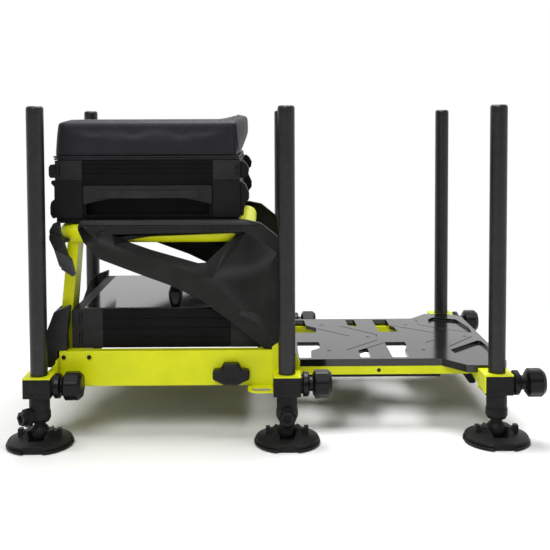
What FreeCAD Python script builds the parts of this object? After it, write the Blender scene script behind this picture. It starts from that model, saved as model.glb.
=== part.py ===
import FreeCAD, Part

import math
import os

V = FreeCAD.Vector

# A six-legged fishing seat box, drawn in millimetres: X forward, Y to the left, Z up from the ground.
# While drawing, X is 0 at the middle legs. Export moves the origin to the centre of the footprint.
# Pieces are drawn on the right side (-Y) and mirrored for the left.

# Fits
slide_fit = 0.05
turn_gap = 0.3
stop_gap = 0.2

# Stance: leg axes and height
leg_track = 590.0
rear_leg_gap = 521.0
front_leg_gap = 444.0
leg_top = 712.0
leg_radius = 18.0
leg_wall = 2.0
leg_bottom = 82.0
cap_height = 13.0
cap_plug = 12.0

# Ankle and foot
ball_radius = 21.0
ball_height = 26.0
knuckle_radius = 23.0
knuckle_bottom = 51.0
collar_radius = 21.5
sleeve_top = 103.0
neck_radius = 12.0
ankle_plug = 22.0
lock_height = 64.0
lock_radius = 20.0
lock_flange = 8.0
lock_end_radius = 15.0
lock_socket_radius = 8.5
lock_socket_depth = 6.0
lock_reach = 45.0
foot_radius = 70.0
foot_rim = 9.0
cup_radius = 29.0
cup_height = 34.0
lug_reach = 45.0
lug_width = 14.0

# Clamp block and its knob
block_length = 58.0
block_depth = 54.0
block_height = 40.0
block_bottom = 105.0
block_collar_radius = 20.0
block_collar_reach = 33.0
block_recess_depth = 1.5
stud_radius = 8.0
stud_tip = 19.0
knob_radius = 30.0
knob_length = 40.0
knob_flange_radius = 26.0
knob_flange_end = 47.0
knob_neck_radius = 15.0
rear_screw_out = 51.0
middle_screw_out = 54.0
front_screw_out = 60.0

# Sheet brackets that hold the blocks
bracket_sheet = 3.0
bracket_web = 4.0

# Half widths, taken inwards from the leg axes
leg_to_rail = 47.0
rail_to_upright = 43.0
rail_to_post = 20.0
rail_to_guard = 4.0
rail_to_latch = 2.0
rail_to_deck = 45.0
rail_to_unit = 28.0
pod_stand = 2.0
deck_wing = 14.0
drawer_inset = 24.0
clip_inset = 6.0
cushion_inset = 4.0
knob_inset = 25.0
rail_half_width = leg_track / 2 - leg_to_rail
unit_half_width = rail_half_width - rail_to_unit

# Side rails
rail_bottom = 110.0
rail_top = 186.0
rail_flange = 22.0
rail_sheet = 3.0
rail_rear = -489.0
rail_front = -31.0

# Cross tubes
cross_width = 25.0
cross_wall = 2.5
rear_cross_x = -465.0
front_cross_x = -62.0

# Rear upright, yokes and front posts
upright_half_width = rail_half_width - rail_to_upright
upright_depth = 55.0
upright_foot_depth = 80.0
upright_length = 24.0
upright_rear = -492.0
upright_bend = 272.0
upright_lean = 16.0
post_half_width = rail_half_width - rail_to_post
post_depth = 21.0
post_length = 22.0
post_arm_rise = 18.5
post_arm_depth = 20.0

# Seat ring of round tube
ring_radius = 22.0
ring_wall = 2.0
ring_height = 438.0
ring_half_width = upright_half_width
ring_rear = -476.0
ring_front = -89.0
ring_bend = 27.0
ring_seat = 10.0

# Side pods
pod_half_width = rail_half_width + pod_stand
pod_thickness = 22.0
pod_skin = 4.0
pod_rise = 30.0
pod_top = ring_height + pod_rise
pod_front = 5.0

# Rear guards and latches
guard_half_width = rail_half_width - rail_to_guard
guard_thickness = 21.5
latch_half_width = rail_half_width - rail_to_latch
latch_x = -499.0
latch_drop = 2.0
latch_height = ring_height - latch_drop
latch_pin_radius = 3.0

# Units: skins and corner blocks
unit_wall = 3.0
corner_skin = 6.0
panel_relief = 1.0
groove_width = 2.5
groove_depth = 1.5

# Lower unit with two drawers
lower_rear = -467.0
lower_front = -53.0
lower_bottom = rail_top
lower_height = 84.0
lower_top = lower_bottom + lower_height
lower_corner = 67.0
drawer_half_width = unit_half_width - drawer_inset
drawer_wall = 2.5
drawer_clearance = 1.0
panel_thickness = 2.5
panel_inset = 24.0
panel_knob_x = -243.0
panel_knob_y = -(unit_half_width - knob_inset)
panel_knob_radius = 15.5
panel_knob_height = 46.0

# Upper units: deep below, shallow above
upper_rear = -499.0
upper_front = -99.0
upper_corner = 58.0
deep_rim_height = 12.0
deep_height = 83.0
shallow_height = 41.0
deep_bottom = ring_height + ring_radius + deep_rim_height
deep_top = deep_bottom + deep_height
shallow_top = deep_top + shallow_height
deep_rim_inset = 2.0
deep_rim_width = 30.0
slot_width = 2.5
slot_depth = 4.0

# Carry handle in the side of the deep unit
handle_recess_depth = 20.0
handle_top = deep_top - 14.0
handle_end_bottom = deep_bottom + 28.0
handle_middle_bottom = deep_bottom + 42.0
handle_thickness = 12.0
handle_stand = 5.0
grip_length = 219.0
grip_height = 15.5
grip_drop = 11.0
grip_thickness = 2.0

# Side clips
clip_width = 38.0
clip_half_width = unit_half_width - clip_inset
clip_gap = 0.5
boss_reach = 15.0

# Seat: base plate, hinge and cushion
hinge_setback = 8.0
hinge_x = upper_rear - hinge_setback
hinge_pin_radius = 2.5
hinge_knuckle_radius = 4.7
hinge_plate = 5.0
hinge_inner = 60.0
hinge_middle = 100.0
hinge_outer = 140.0
base_thickness = 3.8
cushion_rear = -497.0
cushion_front_inset = 4.0
cushion_front = upper_front - cushion_front_inset
cushion_rear_lean = 6.5
cushion_half_width = unit_half_width - cushion_inset
cushion_rise = 84.0
cushion_top = shallow_top + cushion_rise
cushion_crown = 2.0
cushion_front_crown = 12.0
cushion_bow = 17.0

# Footplate, in its pulled-out place
deck_top = 153.0
deck_depth = 16.0
deck_plate = 9.0
pocket_depth = 6.0
deck_skirt = 4.0
deck_rear = -20.0
deck_front = 484.0
deck_half_width = rail_half_width - rail_to_deck
deck_front_half_width = rail_half_width + deck_wing
track_half_width = upright_half_width
track_width = 25.0
track_height = 18.0
track_wall = 2.0
track_rear = -200.0
track_bolt_x = 206.0
beam_x = 411.0
beam_width = 25.0
glide_height = 6.0
guide_rear = -150.0
guide_front = -40.0

# Wing knob that locks the footplate
wing_x = -119.0
wing_height = 135.0
wing_thickness = 20.0
wing_half_length = 39.5

# Fasteners
bolt_head_radius = 4.5
bolt_head_height = 2.5

# Tread grooves in the deck
tread_width = 3.0
tread_depth = 1.5

# Places worked out from the sizes above
leg_y = -leg_track / 2
clamp_height = block_bottom + block_height / 2
lip_bottom = block_bottom + block_height
block_outer_y = leg_y - block_depth / 2
block_inner_y = leg_y + block_depth / 2
track_top = deck_top - deck_depth
track_bottom = track_top - track_height
seat_bottom = shallow_top + hinge_plate - base_thickness
seat_base_top = seat_bottom + base_thickness
footprint_centre = (front_leg_gap + front_screw_out + knob_length - rear_leg_gap - foot_radius) / 2


# Drawing helpers

def box(x0, x1, y0, y1, z0, z1):
    return Part.makeBox(x1 - x0, y1 - y0, z1 - z0, V(x0, y0, z0))


def rounded_wire(points, place):
    """A closed wire through (a, b, radius) corners, with each corner rounded."""
    arcs = []
    for index, (a, b, radius) in enumerate(points):
        before = points[index - 1]
        after = points[(index + 1) % len(points)]
        corner = V(a, b, 0)
        back = V(before[0], before[1], 0) - corner
        ahead = V(after[0], after[1], 0) - corner
        half = back.getAngle(ahead) / 2
        reach = min(radius / math.tan(half), 0.45 * back.Length, 0.45 * ahead.Length)
        back.normalize()
        ahead.normalize()
        bulge = reach / math.cos(half) - reach * math.tan(half)
        middle = corner + (back + ahead).normalize() * bulge if reach > 0 else corner
        arcs.append((corner + back * reach, middle, corner + ahead * reach))
    edges = []
    for index, (start, middle, end) in enumerate(arcs):
        if start.distanceToPoint(end) > 1e-6:
            edges.append(Part.Arc(place(start), place(middle), place(end)).toShape())
        following = arcs[(index + 1) % len(arcs)][0]
        if end.distanceToPoint(following) > 1e-6:
            edges.append(Part.LineSegment(place(end), place(following)).toShape())
    return Part.Wire(edges)


def prism(axis, points, low, high, radius=0.0):
    """A straight prism along one axis; a point may carry a corner radius of its own."""
    corners = [(p[0], p[1], p[2] if len(p) > 2 else radius) for p in points]
    places = {
        "x": lambda p: V(low, p.x, p.y),
        "y": lambda p: V(p.x, low, p.y),
        "z": lambda p: V(p.x, p.y, low),
    }
    ways = {"x": V(high - low, 0, 0), "y": V(0, high - low, 0), "z": V(0, 0, high - low)}
    return Part.Face(rounded_wire(corners, places[axis])).extrude(ways[axis])


def rod(axis, radius, low, high, a, b):
    """A round rod along one axis, centred on the other two coordinates a and b."""
    starts = {"x": V(low, a, b), "y": V(a, low, b), "z": V(a, b, low)}
    ways = {"x": V(1, 0, 0), "y": V(0, 1, 0), "z": V(0, 0, 1)}
    return Part.makeCylinder(radius, high - low, starts[axis], ways[axis])


def turned(profile, x, y):
    """A solid turned about a vertical axis from (radius, height) points."""
    points = [V(x + radius, y, height) for radius, height in profile]
    face = Part.Face(Part.makePolygon(points + points[:1]))
    return face.revolve(V(x, y, 0), V(0, 0, 1), 360)


def turned_x(profile, y, z):
    """A solid turned about an axis along X from (x, radius) points."""
    points = [V(place, y, z + radius) for place, radius in profile]
    face = Part.Face(Part.makePolygon(points + points[:1]))
    return face.revolve(V(0, y, z), V(1, 0, 0), 360)


def polygon_points(count, radius, a, b, first_angle=0.0):
    """Corners of a regular polygon about (a, b)."""
    angles = [first_angle + 2 * math.pi * step / count for step in range(count)]
    return [(a + radius * math.cos(angle), b + radius * math.sin(angle)) for angle in angles]


def joined(*shapes):
    return shapes[0].multiFuse(list(shapes[1:])).removeSplitter()


def largest(shape):
    """The biggest solid of a cut, without its loose slivers."""
    return max(shape.Solids, key=lambda solid: solid.Volume)


def mirrored(shape):
    return shape.mirror(V(0, 0, 0), V(0, 1, 0))


def pair(*shapes):
    """The right-hand solids and their left-hand mirror images."""
    return list(shapes) + [mirrored(shape) for shape in shapes]


def export(node, solids):
    """Write one node, moved so that the origin is under the centre of the footprint."""
    pieces = [solid for shape in solids for solid in shape.Solids]
    for solid in pieces:
        if not solid.isValid() or solid.Volume <= 0:
            raise ValueError("bad solid in " + node)
    shape = pieces[0] if len(pieces) == 1 else Part.makeCompound(pieces)
    shape = shape.copy()
    shape.translate(V(-footprint_centre, 0, 0))
    shape.exportStep("parts/" + node + ".step")


# Stations: each leg with its cap, ankle, foot, clamp block and clamp knob

def leg(x):
    """Leg tube and the domed cap pressed into its top."""
    tube_top = leg_top - cap_height
    bore = leg_radius - leg_wall
    tube = rod("z", leg_radius, leg_bottom + stop_gap, tube_top, x, leg_y)
    tube = tube.cut(rod("z", bore, leg_bottom - 1, leg_top, x, leg_y))
    cap = rod("z", leg_radius, tube_top, leg_top, x, leg_y)
    cap = cap.makeFillet(leg_radius / 3, [edge for edge in cap.Edges if edge.BoundBox.ZMin > leg_top - 1])
    plug = rod("z", bore - slide_fit, tube_top - cap_plug, tube_top, x, leg_y)
    return [tube, joined(cap, plug)]


def ankle(x, lock_angle):
    """Ball stud, knuckle and sleeve that turn on the leg's lower end, and the lock knob on their side."""
    bore = leg_radius - leg_wall - slide_fit
    knuckle_top = knuckle_bottom + 25
    body = turned([
        (0, ball_height),
        (neck_radius, ball_height),
        (neck_radius, knuckle_bottom - 4),
        (collar_radius - 2, knuckle_bottom),
        (knuckle_radius, knuckle_bottom + 7),
        (knuckle_radius, knuckle_top - 6),
        (collar_radius, knuckle_top),
        (collar_radius, sleeve_top),
        (leg_radius + turn_gap, sleeve_top),
        (leg_radius + turn_gap, leg_bottom),
        (bore, leg_bottom),
        (bore, leg_bottom + ankle_plug),
        (0, leg_bottom + ankle_plug),
    ], x, leg_y)
    ball = Part.makeSphere(ball_radius, V(x, leg_y, ball_height))
    lock_base = knuckle_radius + 2
    boss = rod("x", lock_radius * 0.7, x, x + lock_base, leg_y, lock_height)
    bolt_hole = rod("x", stud_radius * 0.6 + slide_fit, x + 8, x + lock_base + 1, leg_y, lock_height)
    lock = prism("x", polygon_points(8, lock_radius, leg_y, lock_height), x + lock_base,
                 x + lock_base + lock_flange)
    end = prism("x", polygon_points(6, lock_end_radius, leg_y, lock_height), x + lock_base, x + lock_reach)
    socket = rod("x", lock_socket_radius, x + lock_reach - lock_socket_depth, x + lock_reach + 1,
                 leg_y, lock_height)
    bolt = rod("x", stud_radius * 0.6, x + 10, x + lock_base, leg_y, lock_height)
    pieces = [joined(body, ball, boss).cut(bolt_hole), joined(lock, end, bolt).cut(socket)]
    for piece in pieces:
        piece.rotate(V(x, leg_y, 0), V(0, 0, 1), lock_angle)
    return pieces


def foot(x):
    """Round two-tiered foot with a cup for the ball, side lugs, and notches in its rim."""
    plate = turned([
        (0, 0),
        (foot_radius - 4, 0),
        (foot_radius, 3),
        (foot_radius, foot_rim - 3),
        (foot_radius - 5, foot_rim - 1),
        (foot_radius - 2, foot_rim + 1),
        (foot_radius - 4, foot_rim + 5),
        (cup_radius + 7, foot_rim + 12),
        (cup_radius, cup_height),
        (0, cup_height),
    ], x, leg_y)
    half_lug = lug_width / 2
    for way in (-1, 1):
        inner = x + way * (cup_radius - 5)
        outer = x + way * lug_reach
        low = min(inner, outer)
        high = max(inner, outer)
        plate = joined(plate, box(low, high, leg_y - half_lug, leg_y + half_lug, foot_rim, cup_height - 3))
        lug_low = min(outer, outer - way * 9)
        plate = joined(plate, box(lug_low, lug_low + 9, leg_y - half_lug, leg_y + half_lug,
                                  foot_rim, cup_height + 1))
    plate = plate.cut(Part.makeSphere(ball_radius + turn_gap, V(x, leg_y, ball_height)))
    for way in (-1, 1):
        edge_low = leg_y + min(way * (foot_radius - 10), way * (foot_radius + 1))
        plate = plate.cut(box(x - 21, x + 21, edge_low, edge_low + 11, -1, foot_rim + 6))
        side_low = x + min(way * (foot_radius - 6), way * (foot_radius + 1))
        plate = plate.cut(box(side_low, side_low + 7, leg_y - 4, leg_y + 4, -1, foot_rim + 6))
        mouth_low = leg_y + min(way * neck_radius, way * (cup_radius + 12))
        mouth_high = mouth_low + cup_radius + 12 - neck_radius
        mouth = prism("y", [
            (x - 22, cup_height + 1),
            (x + 22, cup_height + 1),
            (x + 12, ball_height - 12),
            (x - 12, ball_height - 12),
        ], mouth_low, mouth_high)
        plate = plate.cut(mouth)
    return [plate]


def clamp_block(x):
    """Block that slides on the leg, with a recessed face and a threaded collar for the clamp knob."""
    half_length = block_length / 2
    block = prism("z", [
        (x - half_length, block_outer_y),
        (x + half_length, block_outer_y),
        (x + half_length, block_inner_y),
        (x - half_length, block_inner_y),
    ], block_bottom, lip_bottom, 3.0)
    collar = rod("x", block_collar_radius, x + half_length - 4, x + block_collar_reach, leg_y, clamp_height)
    block = joined(block, collar)
    block = block.cut(box(x - half_length + 6, x + half_length - 10, block_outer_y - 1,
                          block_outer_y + block_recess_depth, block_bottom + 7, lip_bottom - 6))
    bore = rod("z", leg_radius + slide_fit, 0, leg_top, x, leg_y)
    stud_bore = rod("x", stud_radius + slide_fit, x, x + block_collar_reach + 1, leg_y, clamp_height)
    return block.cut(bore).cut(stud_bore)


def clamp_knob(x, screw_out):
    """Eight-sided knob with a flange, a neck and a stud that presses on the leg."""
    start = x + block_collar_reach + turn_gap
    flange_end = x + knob_flange_end
    near = x + screw_out
    far = near + knob_length
    body = turned_x([
        (start, 0),
        (start, knob_flange_radius - 2),
        (start + 2, knob_flange_radius),
        (flange_end - 3, knob_flange_radius),
        (flange_end, knob_flange_radius - 4),
        (flange_end, knob_neck_radius),
        (near, knob_neck_radius),
        (near, knob_radius * 0.7),
        (near + 6, knob_radius),
        (far - 8, knob_radius),
        (far, knob_radius * 0.78),
        (far, 0),
    ], leg_y, clamp_height)
    facets = prism("x", polygon_points(8, knob_radius * 1.04, leg_y, clamp_height, math.pi / 8),
                   start, far + 1)
    stud = rod("x", stud_radius, x + stud_tip, near + 1, leg_y, clamp_height)
    return joined(body.common(facets), stud)


# Sheet brackets

def bracket_lip(x):
    """Sheet on top of a clamp block, holed for the leg."""
    half_length = block_length / 2
    lip = box(x - half_length, x + half_length, block_outer_y, block_inner_y + bracket_web,
              lip_bottom, lip_bottom + bracket_sheet)
    return lip.cut(rod("z", leg_radius + turn_gap, 0, leg_top, x, leg_y))


def rear_bracket():
    """Bracket between the rear block and the end of the rail."""
    x = -rear_leg_gap
    half_length = block_length / 2
    web = prism("y", [
        (x - half_length, block_bottom),
        (rail_rear, block_bottom),
        (rail_rear, rail_top - 16),
        (x + half_length - 17, lip_bottom + bracket_sheet),
        (x - half_length, lip_bottom + bracket_sheet),
    ], block_inner_y, block_inner_y + bracket_web)
    link = box(rail_rear - bracket_web, rail_rear, block_inner_y, -rail_half_width + rail_flange,
               rail_bottom, rail_top - 16)
    return joined(web, link, bracket_lip(x))


def middle_bracket():
    """Bracket between the middle block and the rail, with the slotted strap tab."""
    half_length = block_length / 2
    web = prism("y", [
        (rail_front, block_bottom),
        (half_length, block_bottom),
        (half_length, lip_bottom + 20),
        (5, rail_top + 29),
        (-6, rail_top + 29),
        (rail_front, rail_top + 11),
    ], block_inner_y, block_inner_y + bracket_web)
    link = box(rail_front, rail_front + bracket_web, block_inner_y, -post_half_width + post_depth,
               rail_bottom - bracket_sheet, rail_top)
    tab_outer = leg_y - 5
    tab_front = -half_length
    tab = prism("z", [
        (rail_front - 52, -rail_half_width + 12, 0),
        (rail_front - 52, tab_outer, 24),
        (tab_front, tab_outer, 0),
        (tab_front, -rail_half_width + 12, 0),
    ], rail_bottom - bracket_sheet, rail_bottom)
    slot = prism("z", [
        (rail_front - 44, tab_outer + 9),
        (rail_front - 2, tab_outer + 9),
        (rail_front - 2, tab_outer + 33),
        (rail_front - 44, tab_outer + 33),
    ], rail_bottom - 5, rail_bottom + 5, 11.5)
    return joined(web, link, bracket_lip(0), tab).cut(slot)


# Frame

def side_rail():
    """C-section rail, open towards the inside."""
    outer = box(rail_rear, rail_front, -rail_half_width, -rail_half_width + rail_flange, rail_bottom, rail_top)
    inner = box(rail_rear - 1, rail_front + 1, -rail_half_width + rail_sheet, -rail_half_width + rail_flange + 1,
                rail_bottom + rail_sheet, rail_top - rail_sheet)
    hole = rod("y", stud_radius + slide_fit, -rail_half_width - 1, -rail_half_width + rail_sheet + 1,
               wing_x, wing_height)
    return outer.cut(inner).cut(hole)


def cross_tube(x):
    """Square tube across the frame, between the rails' flanges and under the lower unit."""
    reach = rail_half_width - rail_flange
    z0 = rail_top - cross_width
    outer = box(x, x + cross_width, -reach, reach, z0, rail_top)
    inner = box(x + cross_wall, x + cross_width - cross_wall, -reach - 1, reach + 1,
                z0 + cross_wall, rail_top - cross_wall)
    return outer.cut(inner)


def ring_sweep(radius):
    """Round bar bent to a rounded rectangle: straight runs and quarter bends."""
    x0 = ring_rear
    x1 = ring_front
    y1 = ring_half_width
    runs = [
        rod("y", radius, -y1 + ring_bend, y1 - ring_bend, x0, ring_height),
        rod("y", radius, -y1 + ring_bend, y1 - ring_bend, x1, ring_height),
        rod("x", radius, x0 + ring_bend, x1 - ring_bend, -y1, ring_height),
        rod("x", radius, x0 + ring_bend, x1 - ring_bend, y1, ring_height),
    ]
    corners = [
        (x0 + ring_bend, -y1 + ring_bend, 180),
        (x1 - ring_bend, -y1 + ring_bend, 270),
        (x1 - ring_bend, y1 - ring_bend, 0),
        (x0 + ring_bend, y1 - ring_bend, 90),
    ]
    for cx, cy, angle in corners:
        section = Part.Face(Part.Wire(Part.makeCircle(radius, V(cx + ring_bend, cy, ring_height), V(0, 1, 0))))
        bend = section.revolve(V(cx, cy, ring_height), V(0, 0, 1), 90)
        bend.rotate(V(cx, cy, 0), V(0, 0, 1), angle)
        runs.append(bend)
    return joined(*runs)


def seat_ring():
    """Hollow ring that carries the seat units, with a vent hole under its rear run."""
    vent = rod("z", 3.0, ring_height - ring_radius - 1, ring_height, ring_rear, 0)
    return ring_sweep(ring_radius).cut(ring_sweep(ring_radius - ring_wall)).cut(vent)


def upright():
    """Right rear upright of folded sheet, open to the inside; the photo shows none on the left."""
    rear = upright_rear
    front = upright_rear + upright_length
    top = ring_height - ring_seat
    inner_y = -upright_half_width + upright_depth
    foot_y = -upright_half_width + upright_foot_depth
    side = prism("y", [
        (rear, rail_bottom, 0),
        (front, rail_bottom, 0),
        (front, upright_bend, 60),
        (front + upright_lean, top, 0),
        (rear + upright_lean, top, 0),
        (rear, upright_bend, 60),
    ], -upright_half_width, foot_y)
    taper = prism("x", [
        (-upright_half_width, rail_bottom),
        (foot_y, rail_bottom),
        (inner_y, top),
        (-upright_half_width, top),
    ], rear - 1, front + upright_lean + 1)
    hollow = box(rear + 3, front - 3, -upright_half_width + 3, foot_y + 1, rail_bottom + 4, upright_bend - 4)
    return largest(side.common(taper).cut(hollow).cut(ring_sweep(ring_radius)))


def front_post():
    """Post inside the side pod, with an arm that carries the front of the ring."""
    x0 = rail_front + bracket_web
    x1 = x0 + post_length
    arm_top = ring_height - post_arm_rise
    arm_end = ring_front - 18
    post = prism("y", [
        (x0, rail_bottom, 0),
        (x1, rail_bottom, 0),
        (x1, arm_top - 68, 8),
        (x0 + 9, arm_top - 50, 8),
        (x0 - 31, arm_top - 12, 20),
        (arm_end + 8, arm_top, 8),
        (arm_end, arm_top, 0),
        (arm_end, arm_top - post_arm_depth, 0),
        (x0 - 35, arm_top - 31, 8),
        (x0, arm_top - 68, 8),
    ], -post_half_width, -post_half_width + post_depth)
    return largest(post.cut(ring_sweep(ring_radius)))


def pod_outline(inset):
    """Side view of a pod's outer edge."""
    i = inset
    top = pod_top
    return [
        (-443 + i, top - i, 6),
        (-446.5 + i, top - 18, 10),
        (-435 + i, top - 48 - i / 2, 12),
        (-401 + i, top - 84 + i * 0.8, 10),
        (-308, top - 120 + i, 60),
        (-251, top - 141 + i, 60),
        (-183 + i, top - 174 + i, 60),
        (-118 + i, top - 222 + i, 60),
        (-48 + i * 1.5, rail_top + 1.5 + i, 3),
        (pod_front - i, rail_top + 1.5 + i, 3),
        (pod_front - i, top - 70 - i / 2, 10),
        (-17 - i, top - 37 - i / 2, 20),
        (-54 - i / 2, top - 7 - i, 14),
        (-88, top - i, 14),
    ]


def pod_window():
    """Triangular window between the top rail and the strut."""
    top = pod_top
    return [
        (-349, top - 45, 3),
        (-293, top - 65, 40),
        (-190, top - 95, 12),
        (-174, top - 94, 5),
        (-128, top - 52, 10),
        (-108, top - 34, 3),
        (-112, top - 30, 3),
        (-293, top - 36, 40),
    ]


def side_pod():
    """Moulded side cover: a hollow shell, open towards the inside, round the window."""
    outer_y = -pod_half_width
    inner_y = outer_y + pod_thickness
    body = prism("y", pod_outline(0), outer_y, inner_y)
    hollow = prism("y", pod_outline(pod_skin + 1), outer_y + pod_skin, inner_y + 1)
    top = pod_top
    frame = prism("y", [
        (-358, top - 44, 3),
        (-293, top - 74, 40),
        (-190, top - 104, 12),
        (-168, top - 102, 5),
        (-118, top - 56, 10),
        (-98, top - 34, 3),
        (-104, top - 22, 3),
        (-293, top - 27, 40),
    ], outer_y + pod_skin, inner_y + 1)
    window = prism("y", pod_window(), outer_y - 1, inner_y + 1)
    return body.cut(hollow.cut(frame)).cut(window)


def rear_guard():
    """Corner cover at the foot of the rear upright."""
    outer_y = -guard_half_width
    inner_y = outer_y + guard_thickness
    low = rail_top + 1.5
    side = prism("y", [
        (-466, 284, 3),
        (-500, 271, 8),
        (-514, 235, 20),
        (-525, 204, 20),
        (-523, 150, 3),
        (-494.5, 150, 3),
        (-494.5, low, 0),
        (-474, low, 0),
        (-474, 220, 10),
    ], outer_y, inner_y)
    back = prism("y", [
        (-500, 271, 6),
        (-514, 235, 20),
        (-525, 204, 20),
        (-523, 150, 3),
        (-498.5, 150, 0),
        (-498.5, 271, 0),
    ], inner_y - 1, -upright_half_width + upright_depth)
    return joined(side, back)


def latch_bracket():
    """Moulded saddle in front of the ring's rear corner, which carries a rear latch."""
    outer_y = -latch_half_width
    inner_y = -post_half_width
    plate = prism("y", [
        (latch_x - 8, latch_height + 11, 4),
        (latch_x + 1, latch_height + 27, 5),
        (latch_x + 12, latch_height + 29, 1),
        (latch_x + 14, latch_height + 9, 30),
        (latch_x + 20, latch_height - 7, 30),
        (latch_x + 27, latch_height - 16, 1),
        (latch_x + 8, latch_height - 16, 2),
        (latch_x - 6, latch_height - 8, 5),
    ], outer_y, inner_y)
    tongue = box(latch_x + 9, latch_x + 29, inner_y - 1, -upright_half_width,
                 latch_height - 16, latch_height - 8)
    pin_hole = rod("y", latch_pin_radius + slide_fit, outer_y - 1, inner_y + 1, latch_x, latch_height)
    tongue = largest(tongue.cut(ring_sweep(ring_radius)))
    return joined(plate, tongue).cut(pin_hole)


def latch_lever():
    """Lever of a rear latch, hanging from its pin, with a ribbed grip end."""
    outer = -latch_half_width - 14
    inner = -latch_half_width - turn_gap
    arm = prism("y", [
        (latch_x - 5, latch_height + 4, 3),
        (latch_x + 6, latch_height + 4, 3),
        (latch_x + 23, latch_height - 6, 3),
        (latch_x + 34, latch_height - 42, 3),
        (latch_x + 41, latch_height - 50, 3),
        (latch_x + 48, latch_height - 81, 3),
        (latch_x + 46, latch_height - 86, 2),
        (latch_x + 16, latch_height - 64, 5),
        (latch_x + 5, latch_height - 28, 5),
        (latch_x - 5, latch_height - 6, 3),
    ], outer, inner)
    ribs = []
    for step in range(3):
        low = latch_height - 52 - step * 9
        ribs.append(prism("y", [
            (latch_x + 12 + step * 4, low),
            (latch_x + 38 + step * 3, low - 16),
            (latch_x + 38 + step * 3, low - 12),
            (latch_x + 12 + step * 4, low + 4),
        ], outer - 1.5, outer + 1))
    arm = joined(arm, *[rib.common(box(latch_x, latch_x + 60, outer - 2, outer + 2,
                                       latch_height - 90, latch_height)) for rib in ribs])
    pin = rod("y", latch_pin_radius, inner - 1, -post_half_width, latch_x, latch_height)
    return joined(arm, pin)


def wing_knob():
    """Winged knob with a stud through the rail that presses on the footplate rail."""
    outer = -rail_half_width - wing_thickness
    x = wing_x
    z = wing_height
    body = prism("y", [
        (x - wing_half_length, z + 11, 5),
        (x - wing_half_length, z - 8, 5),
        (x - 14, z - 21, 14),
        (x + 14, z - 21, 14),
        (x + wing_half_length, z - 8, 5),
        (x + wing_half_length, z + 11, 5),
        (x + 22, z + 14, 5),
        (x + 16, z + 26, 4),
        (x - 16, z + 26, 4),
        (x - 22, z + 14, 5),
    ], outer, -rail_half_width - turn_gap)
    face = [edge for edge in body.Edges if edge.BoundBox.YMax < outer + 0.1]
    body = body.makeChamfer(3.0, face)
    dish = rod("y", 11.0, outer - 1, outer + 2, x, z)
    stud = rod("y", stud_radius, -rail_half_width - 1, -track_half_width - turn_gap, x, z)
    return joined(body.cut(dish), stud)


def slide_guide():
    """Plastic guide inside the side rail, under and beside the footplate rail."""
    back = -rail_half_width + rail_sheet
    face = -track_half_width - turn_gap
    shelf_top = track_bottom - glide_height - turn_gap
    shelf_bottom = shelf_top - 6
    flange_edge = -rail_half_width + rail_flange
    top = wing_height + stud_radius + 4
    guide = prism("x", [
        (back, rail_bottom + rail_sheet),
        (flange_edge, rail_bottom + rail_sheet),
        (flange_edge, shelf_bottom),
        (-track_half_width + track_width, shelf_bottom),
        (-track_half_width + track_width, shelf_top),
        (face, shelf_top),
        (face, top),
        (back, top),
    ], guide_rear, guide_front)
    return guide.cut(rod("y", stud_radius + slide_fit, back - 1, face + 1, wing_x, wing_height))


# Units

def corner_block(x0, x1, y0, y1, z0, z1, x_skin, y_skin):
    """L-shaped corner block; the skins say on which faces its two arms lie."""
    outer = box(x0, x1, y0, y1, z0, z1)
    inner_x0 = x0 + corner_skin if x_skin < 0 else x0 - 1
    inner_x1 = x1 - corner_skin if x_skin > 0 else x1 + 1
    inner_y0 = y0 + corner_skin if y_skin < 0 else y0 - 1
    inner_y1 = y1 - corner_skin if y_skin > 0 else y1 + 1
    return outer.cut(box(inner_x0, inner_x1, inner_y0, inner_y1, z0 - 1, z1 + 1))


def side_slots(places, z0, z1):
    """Upright slots cut in the side face of a corner block."""
    w = unit_half_width
    return [box(x, x + slot_width, -w - 1, -w + slot_depth, z0, z1) for x in places]


def corner_blocks(x0, x1, length, front_arm, z0, z1, slots):
    """Four corner blocks of a unit, with slots cut in their side faces."""
    w = unit_half_width
    rear = corner_block(x0, x0 + length, -w, -w + length, z0, z1, -1, -1)
    side_arm = box(x1 - length, x1, -w, -w + corner_skin, z0, z1)
    end_arm = box(x1 - corner_skin, x1, -w, -w + front_arm, z0, z1)
    front = joined(side_arm, end_arm)
    for slot in slots:
        rear = rear.cut(slot)
        front = front.cut(slot)
    return pair(rear, front)


def profile_panel(x0, x1, y0, y1, z0, z1, face):
    """Grooved side profile; face names the grooved side: -y, -x or +x."""
    panel = box(x0, x1, y0, y1, z0, z1)
    rows = 3
    for row in range(rows):
        height = z0 + (z1 - z0) * (row + 1) / (rows + 1)
        if face == "-y":
            groove = box(x0 - 1, x1 + 1, y0 - 1, y0 + groove_depth, height, height + groove_width)
        elif face == "-x":
            groove = box(x0 - 1, x0 + groove_depth, y0 - 1, y1 + 1, height, height + groove_width)
        else:
            groove = box(x1 - groove_depth, x1 + 1, y0 - 1, y1 + 1, height, height + groove_width)
        panel = panel.cut(groove)
    return panel


def unit_core(x0, x1, z0, z1):
    """Outside of a unit's shell, inside the skins of its corner blocks."""
    w = unit_half_width - corner_skin
    return box(x0 + corner_skin, x1 - corner_skin, -w, w, z0, z1)


def unit_panels(x0, x1, length, z0, z1, with_front):
    """Grooved profiles between the corner blocks."""
    w = unit_half_width
    relief = panel_relief
    side = profile_panel(x0 + length, x1 - length, -w + relief, -w + corner_skin, z0, z1, "-y")
    rear = profile_panel(x0 + relief, x0 + corner_skin, -w + length, w - length, z0, z1, "-x")
    panels = pair(side) + [rear]
    if with_front:
        panels.append(profile_panel(x1 - corner_skin, x1 - relief, -w + length, w - length, z0, z1, "+x"))
    return panels


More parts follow.
